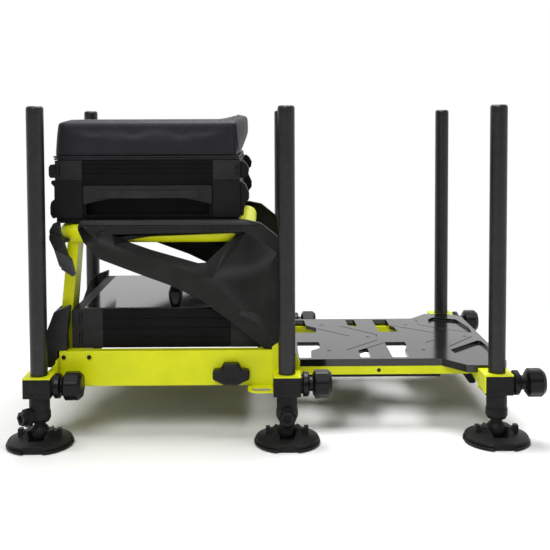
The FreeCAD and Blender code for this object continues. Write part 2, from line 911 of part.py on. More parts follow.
def lower_bays():
    """Heights of the two drawer bays of the lower unit: (bottom, top) pairs."""
    middle = (lower_bottom + lower_top) / 2
    half_shelf = unit_wall / 2
    return [
        (lower_bottom + unit_wall, middle - half_shelf),
        (middle + half_shelf, lower_top - unit_wall),
    ]


def lower_housing():
    """Shell of the lower unit, open at the front for the drawers."""
    x0 = lower_rear
    x1 = lower_front
    shell = joined(unit_core(x0, x1, lower_bottom, lower_top),
                   *unit_panels(x0, x1, lower_corner, lower_bottom, lower_top, False))
    w = unit_half_width - corner_skin - unit_wall
    for bay_bottom, bay_top in lower_bays():
        shell = shell.cut(box(x0 + corner_skin + unit_wall, x1, -w, w, bay_bottom, bay_top))
    return shell


def lower_corner_blocks():
    middle = (lower_bottom + lower_top) / 2
    split = 0.4
    front_arm = unit_half_width - drawer_half_width - 4
    levels = [(lower_bottom, middle - split), (middle + split, lower_top)]
    blocks = []
    for z0, z1 in levels:
        slots = side_slots((lower_rear + 15, lower_rear + 20.5), z0 + 9, z1 - 7)
        blocks += corner_blocks(lower_rear, lower_front, lower_corner, front_arm, z0, z1, slots)
    return blocks


def drawer(bay_bottom, bay_top):
    """Open-topped drawer with a full-width front and a pull lip."""
    x0 = lower_rear + corner_skin + unit_wall + 2
    x1 = lower_front
    z0 = bay_bottom + drawer_clearance
    z1 = bay_top - drawer_clearance
    w = drawer_half_width
    wall = drawer_wall
    tray = box(x0, x1, -w, w, z0, z1 - 2)
    tray = tray.cut(box(x0 + wall, x1 - wall, -w + wall, w - wall, z0 + wall, z1 + 1))
    front = box(x1 - wall, x1 + 4, -w, w, z0, z1)
    pull_half = w * 0.3
    pull = prism("z", [
        (x1 + 3, -pull_half, 0),
        (x1 + 3, pull_half, 0),
        (x1 + 12, pull_half - 10, 6),
        (x1 + 12, -pull_half + 10, 6),
    ], z1 - 12, z1 - 7)
    return joined(tray, front, pull)


def lid_panel():
    """Glossy panel on top of the lower unit, holed for its knob."""
    half = unit_half_width - 10
    panel = box(lower_rear + panel_inset, lower_front - panel_inset, -half, half,
                lower_top, lower_top + panel_thickness)
    outer_edges = [edge for edge in panel.Edges if edge.BoundBox.ZMin > lower_top + 1]
    return panel.makeChamfer(panel_thickness * 0.6, outer_edges)


def panel_knob():
    """Barrel-shaped hand knob standing on the panel."""
    base = lower_top + panel_thickness + turn_gap
    r = panel_knob_radius
    h = panel_knob_height
    return turned([
        (0, base),
        (r * 0.55, base),
        (r * 0.8, base + h * 0.12),
        (r, base + h * 0.4),
        (r, base + h * 0.7),
        (r * 0.7, base + h),
        (0, base + h),
    ], panel_knob_x, panel_knob_y)


def handle_span():
    """Front and rear ends of the space between the corner blocks of the deep unit."""
    return upper_rear + upper_corner + 3, upper_front - upper_corner - 3


def handle_recess(grow):
    """Space behind a carry handle, or the same grown by a wall."""
    x0, x1 = handle_span()
    w = unit_half_width
    return box(x0 + 6 - grow, x1 - 6 + grow, -w - 1, -w + panel_relief + handle_recess_depth + grow,
               deep_bottom + 6 - grow, handle_top - 2 + grow)


def deep_tray():
    """Deep tray with hand recesses in its sides and a narrower rim that rests on the ring."""
    x0 = upper_rear
    x1 = upper_front
    outside = joined(unit_core(x0, x1, deep_bottom, deep_top),
                     *unit_panels(x0, x1, upper_corner, deep_bottom, deep_top, True))
    inside = box(x0 + corner_skin + unit_wall, x1 - corner_skin - unit_wall,
                 -unit_half_width + corner_skin + unit_wall, unit_half_width - corner_skin - unit_wall,
                 deep_bottom + unit_wall, deep_top + 1)
    for recess, grown in zip(pair(handle_recess(0)), pair(handle_recess(unit_wall))):
        outside = outside.cut(recess)
        inside = inside.cut(grown)
    tray = outside.cut(inside)
    rim_x0 = x0 + deep_rim_inset
    rim_x1 = x1 - deep_rim_inset
    rim_y = unit_half_width - deep_rim_inset
    rim_bottom = ring_height + ring_radius + stop_gap
    wide = deep_rim_width
    rim = box(rim_x0, rim_x1, -rim_y, rim_y, rim_bottom, deep_bottom)
    rim = rim.cut(box(rim_x0 + wide, rim_x1 - wide, -rim_y + wide, rim_y - wide, rim_bottom - 1, deep_bottom))
    return joined(tray, rim)


def shallow_tray():
    """Shallow tray with the fixed knuckles of the seat hinge on its rear side."""
    x0 = upper_rear
    x1 = upper_front
    z0 = deep_top + stop_gap
    outside = joined(unit_core(x0, x1, z0, shallow_top),
                     *unit_panels(x0, x1, upper_corner, z0, shallow_top, True))
    inside = box(x0 + corner_skin + unit_wall, x1 - corner_skin - unit_wall,
                 -unit_half_width + corner_skin + unit_wall, unit_half_width - corner_skin - unit_wall,
                 z0 + unit_wall, shallow_top + 1)
    tray = outside.cut(inside)
    knuckle = rod("y", hinge_knuckle_radius, hinge_middle, hinge_outer, hinge_x, shallow_top)
    plate = box(hinge_x, x0 + corner_skin, hinge_middle, hinge_outer,
                shallow_top - hinge_plate - 3, shallow_top - 1)
    bore = rod("y", hinge_pin_radius, hinge_middle - 1, hinge_outer + 1, hinge_x, shallow_top)
    fixed = joined(knuckle, plate).cut(bore)
    return joined(tray, *pair(fixed))


def shallow_corner_blocks():
    """Corner blocks of the shallow unit; the rear ones carry a fixed boss like the front clips."""
    z0 = deep_top + stop_gap
    places = (upper_rear + 1, upper_rear + 8.5, upper_front - 9.5, upper_front - 4.5)
    slots = side_slots(places, z0 + 7, shallow_top - 11)
    blocks = corner_blocks(upper_rear, upper_front, upper_corner, upper_corner, z0, shallow_top, slots)
    boss = prism("y", [
        (upper_rear + 1, z0 + 3, 0),
        (upper_rear + 1, shallow_top - 9, 0),
        (upper_rear - boss_reach + 3, shallow_top - 9, 3),
        (upper_rear - boss_reach, shallow_top - 15, 3),
        (upper_rear - boss_reach, z0 + 9, 3),
        (upper_rear - boss_reach + 3, z0 + 3, 3),
    ], -clip_half_width, -clip_half_width + clip_width)
    rear_right = joined(blocks[0], boss)
    return pair(rear_right, blocks[1])


def carry_handle():
    """Bar across the hand recess, with an arched underside."""
    x0, x1 = handle_span()
    face = -unit_half_width + panel_relief
    profile = [
        (x0, handle_top, 4),
        (x0, handle_end_bottom, 4),
        (x0 + 20, handle_end_bottom + 6, 10),
        (x0 + 62, handle_middle_bottom, 60),
        (x1 - 62, handle_middle_bottom, 60),
        (x1 - 20, handle_end_bottom + 6, 10),
        (x1, handle_end_bottom, 4),
        (x1, handle_top, 4),
    ]
    front = prism("y", profile, face - handle_stand, face)
    inner = prism("y", profile, face, face - handle_stand + handle_thickness)
    return joined(front, inner.common(handle_recess(-turn_gap)))


def handle_grip():
    """Bright insert let into the middle of the handle bar."""
    middle = (upper_rear + upper_front) / 2
    face = -unit_half_width + panel_relief - handle_stand
    top = handle_top - grip_drop
    return prism("y", [
        (middle - grip_length / 2, top - grip_height),
        (middle + grip_length / 2, top - grip_height),
        (middle + grip_length / 2, top),
        (middle - grip_length / 2, top),
    ], face - grip_thickness, face, 2.0)


def clips(face_x, way, profile, barrel_reach, barrel_height, barrel_radius):
    """Pair of side clips on one end face, each with a round barrel at its pivot; way is -1 on the rear."""
    points = [(face_x + way * (clip_gap + reach), height) for reach, height in profile]
    clip = prism("y", points, -clip_half_width, -clip_half_width + clip_width)
    barrel = rod("y", barrel_radius, -clip_half_width, -clip_half_width + clip_width,
                 face_x + way * (clip_gap + barrel_reach), barrel_height)
    return pair(joined(clip, barrel))


def shallow_front_clips():
    """Short clips that hang from a barrel at their top."""
    z0 = deep_top + 1
    z1 = shallow_top - 2
    r = 3.0
    return clips(upper_front, 1, [
        (0, z0),
        (0, z1 - r),
        (r, z1),
        (6, z1),
        (13, z1 - 6),
        (19.5, z1 - 18),
        (17.5, z1 - 31),
        (9, z0),
    ], r, z1 - r, r)


def deep_front_clips():
    """Tall clips that stand on a barrel, with a bulge at half height."""
    z0 = deep_bottom + 1.5
    z1 = deep_top - 8
    r = 3.5
    return clips(upper_front, 1, [
        (r, z0),
        (0, z0 + r),
        (0, z1),
        (4, z1),
        (10.5, z1 - 4),
        (19, z1 - 23),
        (19, z0 + 37),
        (12.5, z0 + 28),
        (8, z0 + 16),
        (2 * r, z0 + r),
    ], r, z0 + r, r)


def deep_rear_clips():
    """Tall clips that stand on a barrel, with a bulge at each end and a waist between them."""
    z0 = deep_bottom - 2
    z1 = deep_top - 3
    r = 4.0
    return clips(upper_rear, -1, [
        (r, z0),
        (0, z0 + r),
        (0, z1),
        (9, z1),
        (9.5, z1 - 6),
        (3, z1 - 13),
        (3, z0 + 42),
        (10, z0 + 36),
        (12.5, z0 + 25),
        (12, z0 + 9),
        (8, z0 + 1),
    ], r, z0 + r, r)


# Seat

def seat_base():
    """Base plate of the seat with the moving knuckles of the hinge."""
    plate = box(upper_rear - 2, upper_front - 2, -unit_half_width + 3, unit_half_width - 3,
                seat_bottom, seat_base_top)
    knuckle = rod("y", hinge_knuckle_radius, hinge_inner, hinge_middle - turn_gap, hinge_x, shallow_top)
    leaf = box(hinge_x, upper_rear, hinge_inner, hinge_middle - turn_gap, seat_bottom, seat_base_top)
    bore = rod("y", hinge_pin_radius + slide_fit, hinge_inner - 1, hinge_middle, hinge_x, shallow_top)
    moving = joined(knuckle, leaf).cut(bore)
    return joined(plate, *pair(moving))


def hinge_pin():
    return rod("y", hinge_pin_radius, -hinge_outer - 1, hinge_outer + 1, hinge_x, shallow_top)


def cushion_plan(z, lean, inset, bow):
    """Plan of the cushion at one height: rounded corners and a front edge bowed forward."""
    x0 = cushion_rear + lean
    x1 = cushion_front
    w = cushion_half_width - inset
    rear_bend = 20.0
    front_bend = 8.0
    slant = math.sqrt(0.5)

    def arc(a, b, c):
        return Part.Arc(V(a[0], a[1], z), V(b[0], b[1], z), V(c[0], c[1], z)).toShape()

    def line(a, b):
        return Part.LineSegment(V(a[0], a[1], z), V(b[0], b[1], z)).toShape()

    edges = [
        line((x0, w - rear_bend), (x0, -w + rear_bend)),
        arc((x0, -w + rear_bend), (x0 + rear_bend * (1 - slant), -w + rear_bend * (1 - slant)),
            (x0 + rear_bend, -w)),
        line((x0 + rear_bend, -w), (x1 - front_bend, -w)),
        arc((x1 - front_bend, -w), (x1 - front_bend * (1 - slant), -w + front_bend * (1 - slant)),
            (x1, -w + front_bend)),
        arc((x1, -w + front_bend), (x1 + bow, 0), (x1, w - front_bend)),
        arc((x1, w - front_bend), (x1 - front_bend * (1 - slant), w - front_bend * (1 - slant)),
            (x1 - front_bend, w)),
        line((x1 - front_bend, w), (x0 + rear_bend, w)),
        arc((x0 + rear_bend, w), (x0 + rear_bend * (1 - slant), w - rear_bend * (1 - slant)),
            (x0, w - rear_bend)),
    ]
    return Part.Wire(edges)


def cushion_section(x, top, crown):
    """Cross-section of the cushion: straight sides, rounded shoulders and a crowned top."""
    w = cushion_half_width + 2
    shoulder = 12.0
    slant = shoulder * (1 - math.sqrt(0.5))
    z0 = seat_base_top
    points = [V(x, -w, z0), V(x, -w, top - shoulder), V(x, -w + slant, top - slant),
              V(x, -w + shoulder, top), V(x, 0, top + crown), V(x, w - shoulder, top),
              V(x, w - slant, top - slant), V(x, w, top - shoulder), V(x, w, z0)]
    return Part.Wire([
        Part.LineSegment(points[0], points[1]).toShape(),
        Part.Arc(points[1], points[2], points[3]).toShape(),
        Part.Arc(points[3], points[4], points[5]).toShape(),
        Part.Arc(points[5], points[6], points[7]).toShape(),
        Part.LineSegment(points[7], points[8]).toShape(),
        Part.LineSegment(points[8], points[0]).toShape(),
    ])


def seat_cushion():
    """Padded cushion: drawn-in lower sides, rounded rear edge and a raised, bowed front edge."""
    height = cushion_top - seat_base_top
    walls = Part.makeLoft([
        cushion_plan(seat_base_top, 0.0, 3.0, cushion_bow * 0.45),
        cushion_plan(seat_base_top + height * 0.3, cushion_rear_lean * 0.3, 0.5, cushion_bow * 0.55),
        cushion_plan(seat_base_top + height * 0.7, cushion_rear_lean * 0.7, 0.0, cushion_bow * 0.85),
        cushion_plan(cushion_top + 20, cushion_rear_lean * 1.2, 1.0, cushion_bow),
    ], True, True)
    top = Part.makeLoft([
        cushion_section(cushion_rear - 6, cushion_top - 26, cushion_crown),
        cushion_section(cushion_rear + 6, cushion_top - 8, cushion_crown),
        cushion_section(cushion_rear + 15, cushion_top - 1, cushion_crown),
        cushion_section(cushion_rear + 32, cushion_top, cushion_crown),
        cushion_section(cushion_front - 30, cushion_top, cushion_crown),
        cushion_section(cushion_front - 8, cushion_top + 1, cushion_front_crown * 0.5),
        cushion_section(cushion_front + cushion_bow - 2, cushion_top + 1, cushion_front_crown),
        cushion_section(cushion_front + cushion_bow + 6, cushion_top - 8, cushion_front_crown),
    ], True, True)
    return walls.common(top)


# Footplate

def deck_outline(inset):
    """Plan of the deck, wide at its front corners."""
    i = inset
    half = [
        (deck_rear + i, deck_half_width - i),
        (345 - i * 0.3, deck_half_width - i),
        (390 - i * 0.3, deck_front_half_width - 4 - i),
        (445 - i * 0.4, deck_front_half_width - i),
        (deck_front - i, deck_front_half_width - 34 - i * 0.4),
    ]
    right = [(x, -y) for x, y in half]
    return right + half[::-1]


def deck_holes():
    """Cut-outs of the left half of the deck."""
    outer = deck_half_width - 13
    return [
        [(30, 48), (82, 48), (84, 100), (60, 128), (57, outer), (30, outer)],
        [(168, 130), (192, 104), (190, outer), (168, outer)],
        [(239, 52), (288, 52), (286, 95), (276, 125), (276, outer), (239, outer)],
    ]


def footplate_deck():
    """Moulded deck plate with a skirt round its edge, cut-outs, lowered corners and tread grooves."""
    bottom = deck_top - deck_depth
    deck = prism("z", deck_outline(0), bottom, deck_top, 6.0)
    deck = deck.cut(prism("z", deck_outline(deck_skirt), bottom - 1, deck_top - deck_plate, 4.0))
    for hole in deck_holes():
        deck = deck.cut(prism("z", hole, bottom - 1, deck_top + 1, 4.0))
        deck = deck.cut(prism("z", [(x, -y) for x, y in hole], bottom - 1, deck_top + 1, 4.0))
    pocket = prism("z", deck_pocket(), deck_top - pocket_depth, deck_top + 1, 6.0)
    deck = deck.cut(pocket).cut(mirrored(pocket))
    for start, end in zip(deck_grooves(), deck_grooves()[1:]):
        if start and end:
            deck = deck.cut(groove_cut(start, end))
    for x, y in deck_screw_places():
        deck = deck.cut(rod("z", bolt_head_radius + 0.5, deck_top - bolt_head_height, deck_top + 1, x, y))
        deck = deck.cut(rod("z", bolt_head_radius * 0.5, bottom, deck_top, x, y))
    return deck


def deck_pocket():
    """Lowered front corner of the deck's right half."""
    return [(381, -128), (470, -36), (474, -95), (462, -190), (405, -216), (387, -186)]


def deck_grooves():
    """Runs of the tread grooves on the deck; None ends a run."""
    return [
        (59, 120), (163, 8), None,
        (148, 118), (229, 23), (226, -30), (142, -125), None,
        (281, 121), (382, 32), None,
        (236, -60), (168, -134), None,
        (355, 188), (351, 131), (393, 89), (469, 37), None,
        (385, -98), (459, -4), None,
        (336, -59), (361, -37), None,
    ]


def groove_cut(start, end):
    """Cutter for one straight groove in the deck's top face."""
    run = V(end[0] - start[0], end[1] - start[1], 0)
    angle = math.degrees(math.atan2(run.y, run.x))
    cutter = box(start[0], start[0] + run.Length, start[1] - tread_width / 2, start[1] + tread_width / 2,
                 deck_top - tread_depth, deck_top + 1)
    cutter.rotate(V(start[0], start[1], 0), V(0, 0, 1), angle)
    return cutter


def deck_screw_places():
    return [(101, -130), (101, 130), (205, 0), (318, -128), (318, 128), (442, 0)]


def track():
    """Lime rail under one side of the deck, which slides in the frame's guides."""
    y0 = -track_half_width
    outer = box(track_rear, beam_x, y0, y0 + track_width, track_bottom, track_top)
    inner = box(track_rear - 1, beam_x - 3, y0 + track_wall, y0 + track_width - track_wall,
                track_bottom + track_wall, track_top - track_wall)
    hole = rod("y", bolt_head_radius, y0 - 1, y0 + track_wall, track_bolt_x, track_bottom + track_height / 2)
    return outer.cut(inner).cut(hole)


def glide():
    """Wear strip under a footplate rail."""
    y0 = -track_half_width + 2
    return box(track_rear + 5, 343, y0, y0 + track_width - 4, track_bottom - glide_height, track_bottom)


def bumper():
    """Rubber bumper at the front end of a footplate rail."""
    y0 = -track_half_width + 2
    return prism("y", [
        (beam_x - 18, track_bottom, 0),
        (beam_x + 8, track_bottom, 0),
        (beam_x + 11, track_bottom - 22, 4),
        (beam_x - 3, track_bottom - 22, 4),
    ], y0, y0 + track_width - 4)


def front_beam():
    """Beam across the front of the footplate, with a gusset and lip at each front block."""
    half_length = block_length / 2
    gusset_x = front_leg_gap - half_length - bracket_web
    beam = box(beam_x, beam_x + beam_width, -track_half_width, track_half_width, track_bottom, track_top)
    beam = beam.cut(box(beam_x + 3, beam_x + beam_width - 3, -track_half_width + 30, track_half_width - 30,
                        track_bottom - 1, track_top - 3))
    gusset = prism("x", [
        (block_outer_y, lip_bottom),
        (block_inner_y + bracket_web, lip_bottom),
        (block_inner_y + bracket_web, track_top),
        (-track_half_width, track_top),
        (-track_half_width, track_bottom),
        (-track_half_width - 12, track_bottom),
        (block_outer_y, block_bottom + 5),
    ], gusset_x, gusset_x + bracket_web)
    web = box(gusset_x, front_leg_gap + half_length, block_inner_y, block_inner_y + 3,
              block_bottom, lip_bottom + bracket_sheet)
    lip_edge = box(gusset_x, front_leg_gap - half_length, block_outer_y, block_inner_y + 3,
                   lip_bottom, lip_bottom + bracket_sheet)
    lip = box(front_leg_gap - half_length, front_leg_gap + half_length, block_outer_y, block_inner_y + 3,
              lip_bottom, lip_bottom + bracket_sheet)
    lip = lip.cut(rod("z", leg_radius + turn_gap, 0, leg_top, front_leg_gap, leg_y))
    side = joined(gusset, web, lip_edge, lip)
    return joined(beam, *pair(side))


def frame_bolts():
    """Bolt heads on the rails and pods."""
    bolts = []
    for x, z in ((rail_rear + 9.5, rail_top - 13), (rail_rear + 64, rail_top - 13)):
        bolts += pair(rod("y", bolt_head_radius, -rail_half_width - bolt_head_height, -rail_half_width, x, z))
    for x, z in ((-403, pod_top - 27), (-19, pod_top - 92)):
        bolts += pair(rod("y", bolt_head_radius, -pod_half_width - bolt_head_height, -pod_half_width, x, z))
    return bolts


def footplate_screws():
    """Deck screws in their countersinks, and the bolts on the outside of the rails."""
    screws = []
    for x, y in deck_screw_places():
        screws.append(rod("z", bolt_head_radius, deck_top - bolt_head_height, deck_top - 0.4, x, y))
    screws += pair(rod("y", bolt_head_radius, -track_half_width, -track_half_width + track_wall,
                       track_bolt_x, track_bottom + track_height / 2))
    return screws


# Write the nodes

os.makedirs("parts", exist_ok=True)

stations = [
    ("rear", -rear_leg_gap, rear_screw_out, -135),
    ("middle", 0.0, middle_screw_out, -90),
    ("front", front_leg_gap, front_screw_out, 75),
]

for row, station_x, screw_out, lock_angle in stations:
    station_nodes = {
        "leg": leg(station_x),
        "ankle": ankle(station_x, lock_angle),
        "foot": foot(station_x),
        "clamp_knob": [clamp_knob(station_x, screw_out)],
    }
    for name, solids in station_nodes.items():
        export(name + "_" + row + "_right", solids)
        export(name + "_" + row + "_left", [mirrored(solid) for solid in solids])

export("seat_clamp_blocks", pair(clamp_block(-rear_leg_gap), clamp_block(0.0)))
export("leg_brackets", pair(rear_bracket(), middle_bracket()))
export("side_rails", pair(side_rail()))
export("frame_tubes", [cross_tube(rear_cross_x), cross_tube(front_cross_x), upright()] + pair(front_post()))
export("seat_ring", [seat_ring()])
export("side_pod_right", [side_pod()])
export("side_pod_left", [mirrored(side_pod())])
export("rear_guards", pair(rear_guard(), latch_bracket()))
export("slide_guides", pair(slide_guide()))
export("frame_bolts", frame_bolts())
export("latch_levers", pair(latch_lever()))
export("wing_knobs", pair(wing_knob()))

export("lower_housing", [lower_housing()])
export("lower_corner_blocks", lower_corner_blocks())
export("lid_panel", [lid_panel()])
export("panel_knob", [panel_knob()])
for name, bay in zip(("drawer_lower", "drawer_upper"), lower_bays()):
    export(name, [drawer(bay[0], bay[1])])

export("deep_tray", [deep_tray()])
export("deep_corner_blocks", corner_blocks(upper_rear, upper_front, upper_corner, upper_corner,
                                           deep_bottom, deep_top, []))
export("carry_handles", pair(carry_handle()))
export("handle_grips", pair(handle_grip()))
export("deep_front_clips", deep_front_clips())
export("deep_rear_clips", deep_rear_clips())

export("shallow_tray", [shallow_tray()])
export("shallow_corner_blocks", shallow_corner_blocks())
export("shallow_front_clips", shallow_front_clips())
export("lid_hinge_pin", [hinge_pin()])

export("seat_base", [seat_base()])
export("seat_cushion", [seat_cushion()])

export("footplate_deck", [footplate_deck()])
export("footplate_rails", pair(track()))
export("rail_glides", pair(glide(), bumper()))
export("front_beam", [front_beam()])
export("footplate_clamp_blocks", pair(clamp_block(front_leg_gap)))
export("footplate_screws", footplate_screws())
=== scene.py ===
"""Fishing seat box: its looks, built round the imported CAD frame. Metres; X runs to the footplate."""
import math

import bmesh
import bpy
from mathutils import Matrix, Vector
from mathutils.bvhtree import BVHTree
from mathutils.geometry import delaunay_2d_cdt


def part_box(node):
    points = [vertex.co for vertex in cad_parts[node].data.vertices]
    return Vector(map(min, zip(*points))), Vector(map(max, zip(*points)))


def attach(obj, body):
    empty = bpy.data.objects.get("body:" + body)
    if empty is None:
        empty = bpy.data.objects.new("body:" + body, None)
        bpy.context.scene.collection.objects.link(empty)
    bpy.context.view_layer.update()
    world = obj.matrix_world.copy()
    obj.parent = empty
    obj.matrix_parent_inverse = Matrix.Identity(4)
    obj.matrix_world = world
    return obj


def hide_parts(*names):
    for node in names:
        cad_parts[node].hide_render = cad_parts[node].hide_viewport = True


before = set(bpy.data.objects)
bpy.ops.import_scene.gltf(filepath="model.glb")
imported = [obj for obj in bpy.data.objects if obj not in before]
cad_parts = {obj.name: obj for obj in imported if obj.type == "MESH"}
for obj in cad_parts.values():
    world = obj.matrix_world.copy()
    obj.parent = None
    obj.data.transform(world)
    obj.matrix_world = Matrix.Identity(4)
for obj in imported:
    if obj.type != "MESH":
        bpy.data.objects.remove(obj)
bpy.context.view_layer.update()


# Frame: side rails, tubes, ring, brackets and footplate rails.
# The real ones are folded and bent steel, welded, then powder coated in lime with a satin finish.

def linear(code):
    """Turns an sRGB hex colour into the linear values that Blender's sockets take."""
    channels = [int(code[start:start + 2], 16) / 255 for start in (1, 3, 5)]
    values = [c / 12.92 if c <= 0.04045 else ((c + 0.055) / 1.055) ** 2.4 for c in channels]
    return tuple(values) + (1.0,)


def add_node(tree, kind, settings=None, **inputs):
    """Adds a shader node with its settings; each input is a value or another node's output.
    A name such as i6 stands for the socket of that number."""
    node = tree.nodes.new("ShaderNode" + kind)
    for name, value in (settings or {}).items():
        setattr(node, name, value)
    for name, value in inputs.items():
        place = int(name[1:]) if name[0] == "i" and name[1:].isdigit() else name.replace("_", " ")
        socket = node.inputs[place]
        if isinstance(value, bpy.types.NodeSocket):
            tree.links.new(value, socket)
        else:
            socket.default_value = value
    return node


def new_material(name):
    """An empty material and its tree."""
    material = bpy.data.materials.new(name)
    material.use_nodes = True
    material.node_tree.nodes.clear()
    return material, material.node_tree


def set_ramp(node, stops):
    """Sets a colour ramp's stops from (place, hex colour) pairs."""
    ramp = node.color_ramp
    while len(ramp.elements) > 1:
        ramp.elements.remove(ramp.elements[-1])
    ramp.elements[0].position = stops[0][0]
    ramp.elements[0].color = linear(stops[0][1])
    for place, code in stops[1:]:
        ramp.elements.new(place).color = linear(code)


def dress(names, material):
    """Gives CAD nodes one finish."""
    for name in names:
        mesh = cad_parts[name].data
        mesh.materials.clear()
        mesh.materials.append(material)


def edge_wear_and_highlight(tree, radius, patches):
    """Rounded normal, and a factor that is 1 on edges where the noise patches let it show: rubbed wear,
    and on some finishes a painted highlight along the edge too.
    """
    # The paler edge starts where the normal is turned by 6 degrees and is full at 31, written as
    # cosines.
    rounded = add_node(tree, "Bevel", {"samples": 4}, Radius=radius)
    flat = add_node(tree, "NewGeometry")
    turn = add_node(tree, "VectorMath", {"operation": "DOT_PRODUCT"}, i0=rounded.outputs[0],
                    i1=flat.outputs["Normal"])
    edge = add_node(tree, "MapRange", Value=turn.outputs["Value"], From_Min=0.995, From_Max=0.86)
    pale_edge = add_node(tree, "Math", {"operation": "MULTIPLY"}, i0=edge.outputs[0], i1=patches)
    return rounded.outputs[0], pale_edge.outputs[0]


def powder_coat():
    """Powder-coated steel: even satin lime with a faint orange peel and edges a little paler, partly
    rubbed wear and partly a painted highlight.
    """
    material, tree = new_material("lime_powder_coated_steel")
    place = add_node(tree, "TexCoord").outputs["Object"]
    # Orange peel is about 2 mm across, cloudiness in the coat about 60 mm, and scuffs about 9 mm.
    peel = add_node(tree, "TexNoise", Vector=place, Scale=480.0, Detail=2.0)
    cloud = add_node(tree, "TexNoise", Vector=place, Scale=16.0, Detail=3.0)
    scuff = add_node(tree, "TexNoise", Vector=place, Scale=110.0, Detail=4.0)
    shade = add_node(tree, "ValToRGB", Fac=cloud.outputs["Fac"])
    set_ramp(shade, [(0.3, "#D2D808"), (0.7, "#DEE312")])
    patches = add_node(tree, "MapRange", Value=scuff.outputs["Fac"], From_Min=0.5, From_Max=0.62)
    rounded, pale_edge = edge_wear_and_highlight(tree, 0.0012, patches.outputs[0])
    # Paler lime on the edges: partly rubbed wear, partly a painted highlight on the rounded edges.
    pale = add_node(tree, "Mix", {"data_type": "RGBA"}, Factor=pale_edge, i6=shade.outputs[0],
                    i7=linear("#EDF06A"))
    sheen = add_node(tree, "MapRange", Value=cloud.outputs["Fac"], To_Min=0.34, To_Max=0.44)
    bump = add_node(tree, "Bump", Strength=0.05, Distance=0.0002, Height=peel.outputs["Fac"],
                    Normal=rounded)
    surface = add_node(tree, "BsdfPrincipled", Base_Color=pale.outputs[2], Roughness=sheen.outputs[0],
                       Normal=bump.outputs[0], Specular_IOR_Level=0.25)
    add_node(tree, "OutputMaterial", Surface=surface.outputs[0])
    return material


dress(["side_rails", "frame_tubes", "seat_ring", "leg_brackets", "footplate_rails", "front_beam"],
      powder_coat())


# Legs: 36 mm aluminium tubes, anodised satin black, each with a domed moulded cap pressed in its top.
# The cap shows as a slightly duller band above a fine dark joint.

rows = ("rear", "middle", "front")
leg_names = ["leg_%s_%s" % (row, side) for row in rows for side in ("right", "left")]
cap_height = 0.013
cap_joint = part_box("leg_rear_right")[1].z - cap_height


def anodised_tube():
    """Anodised aluminium: dark, drawn along its length, with faint clamp scuffs; the cap is duller."""
    material, tree = new_material("black_anodised_aluminium")
    place = add_node(tree, "TexCoord").outputs["Object"]
    # Drawing lines are a fraction of a millimetre wide, drawn at about 1 mm so that they show. The
    # scuffs are about 17 mm across.
    stretched = add_node(tree, "Mapping", Vector=place, Scale=(900.0, 900.0, 14.0))
    lines = add_node(tree, "TexNoise", Vector=stretched.outputs[0], Scale=1.0, Detail=3.0)
    scuff = add_node(tree, "TexNoise", Vector=place, Scale=60.0, Detail=5.0)
    height = add_node(tree, "SeparateXYZ", Vector=place).outputs["Z"]
    cap = add_node(tree, "Math", {"operation": "GREATER_THAN"}, i0=height, i1=cap_joint)
    off_joint = add_node(tree, "Math", {"operation": "SUBTRACT"}, i0=height, i1=cap_joint)
    distance = add_node(tree, "Math", {"operation": "ABSOLUTE"}, i0=off_joint.outputs[0])
    joint = add_node(tree, "MapRange", Value=distance.outputs[0], From_Min=0.0004, From_Max=0.0011,
                     To_Min=1.0, To_Max=0.0)
    shade = add_node(tree, "ValToRGB", Fac=scuff.outputs["Fac"])
    set_ramp(shade, [(0.35, "#1A1A1C"), (0.62, "#1F1F21"), (0.75, "#29292B")])
    capped = add_node(tree, "Mix", {"data_type": "RGBA"}, Factor=cap.outputs[0], i6=shade.outputs[0],
                      i7=linear("#1A1A1B"))
    jointed = add_node(tree, "Mix", {"data_type": "RGBA"}, Factor=joint.outputs[0],
                       i6=capped.outputs[2], i7=linear("#0A0A0A"))
    rough = add_node(tree, "MapRange", Value=lines.outputs["Fac"], To_Min=0.3, To_Max=0.42)
    bump = add_node(tree, "Bump", Strength=0.08, Distance=0.0003, Height=lines.outputs["Fac"])
    surface = add_node(tree, "BsdfPrincipled", Base_Color=jointed.outputs[2],
                       Roughness=rough.outputs[0], Normal=bump.outputs[0], Specular_IOR_Level=0.4)
    add_node(tree, "OutputMaterial", Surface=surface.outputs[0])
    return material


dress(leg_names, anodised_tube())


# Feet and ankles: glass-filled nylon, moulded, with a ball under each ankle and a lock on its side.
# The clamp blocks are of the same nylon, dark grey, fine grained and half matt. The hand knobs are of a
# blacker and smoother one.

feet = [name.replace("leg", kind) for name in leg_names for kind in ("foot", "ankle")]


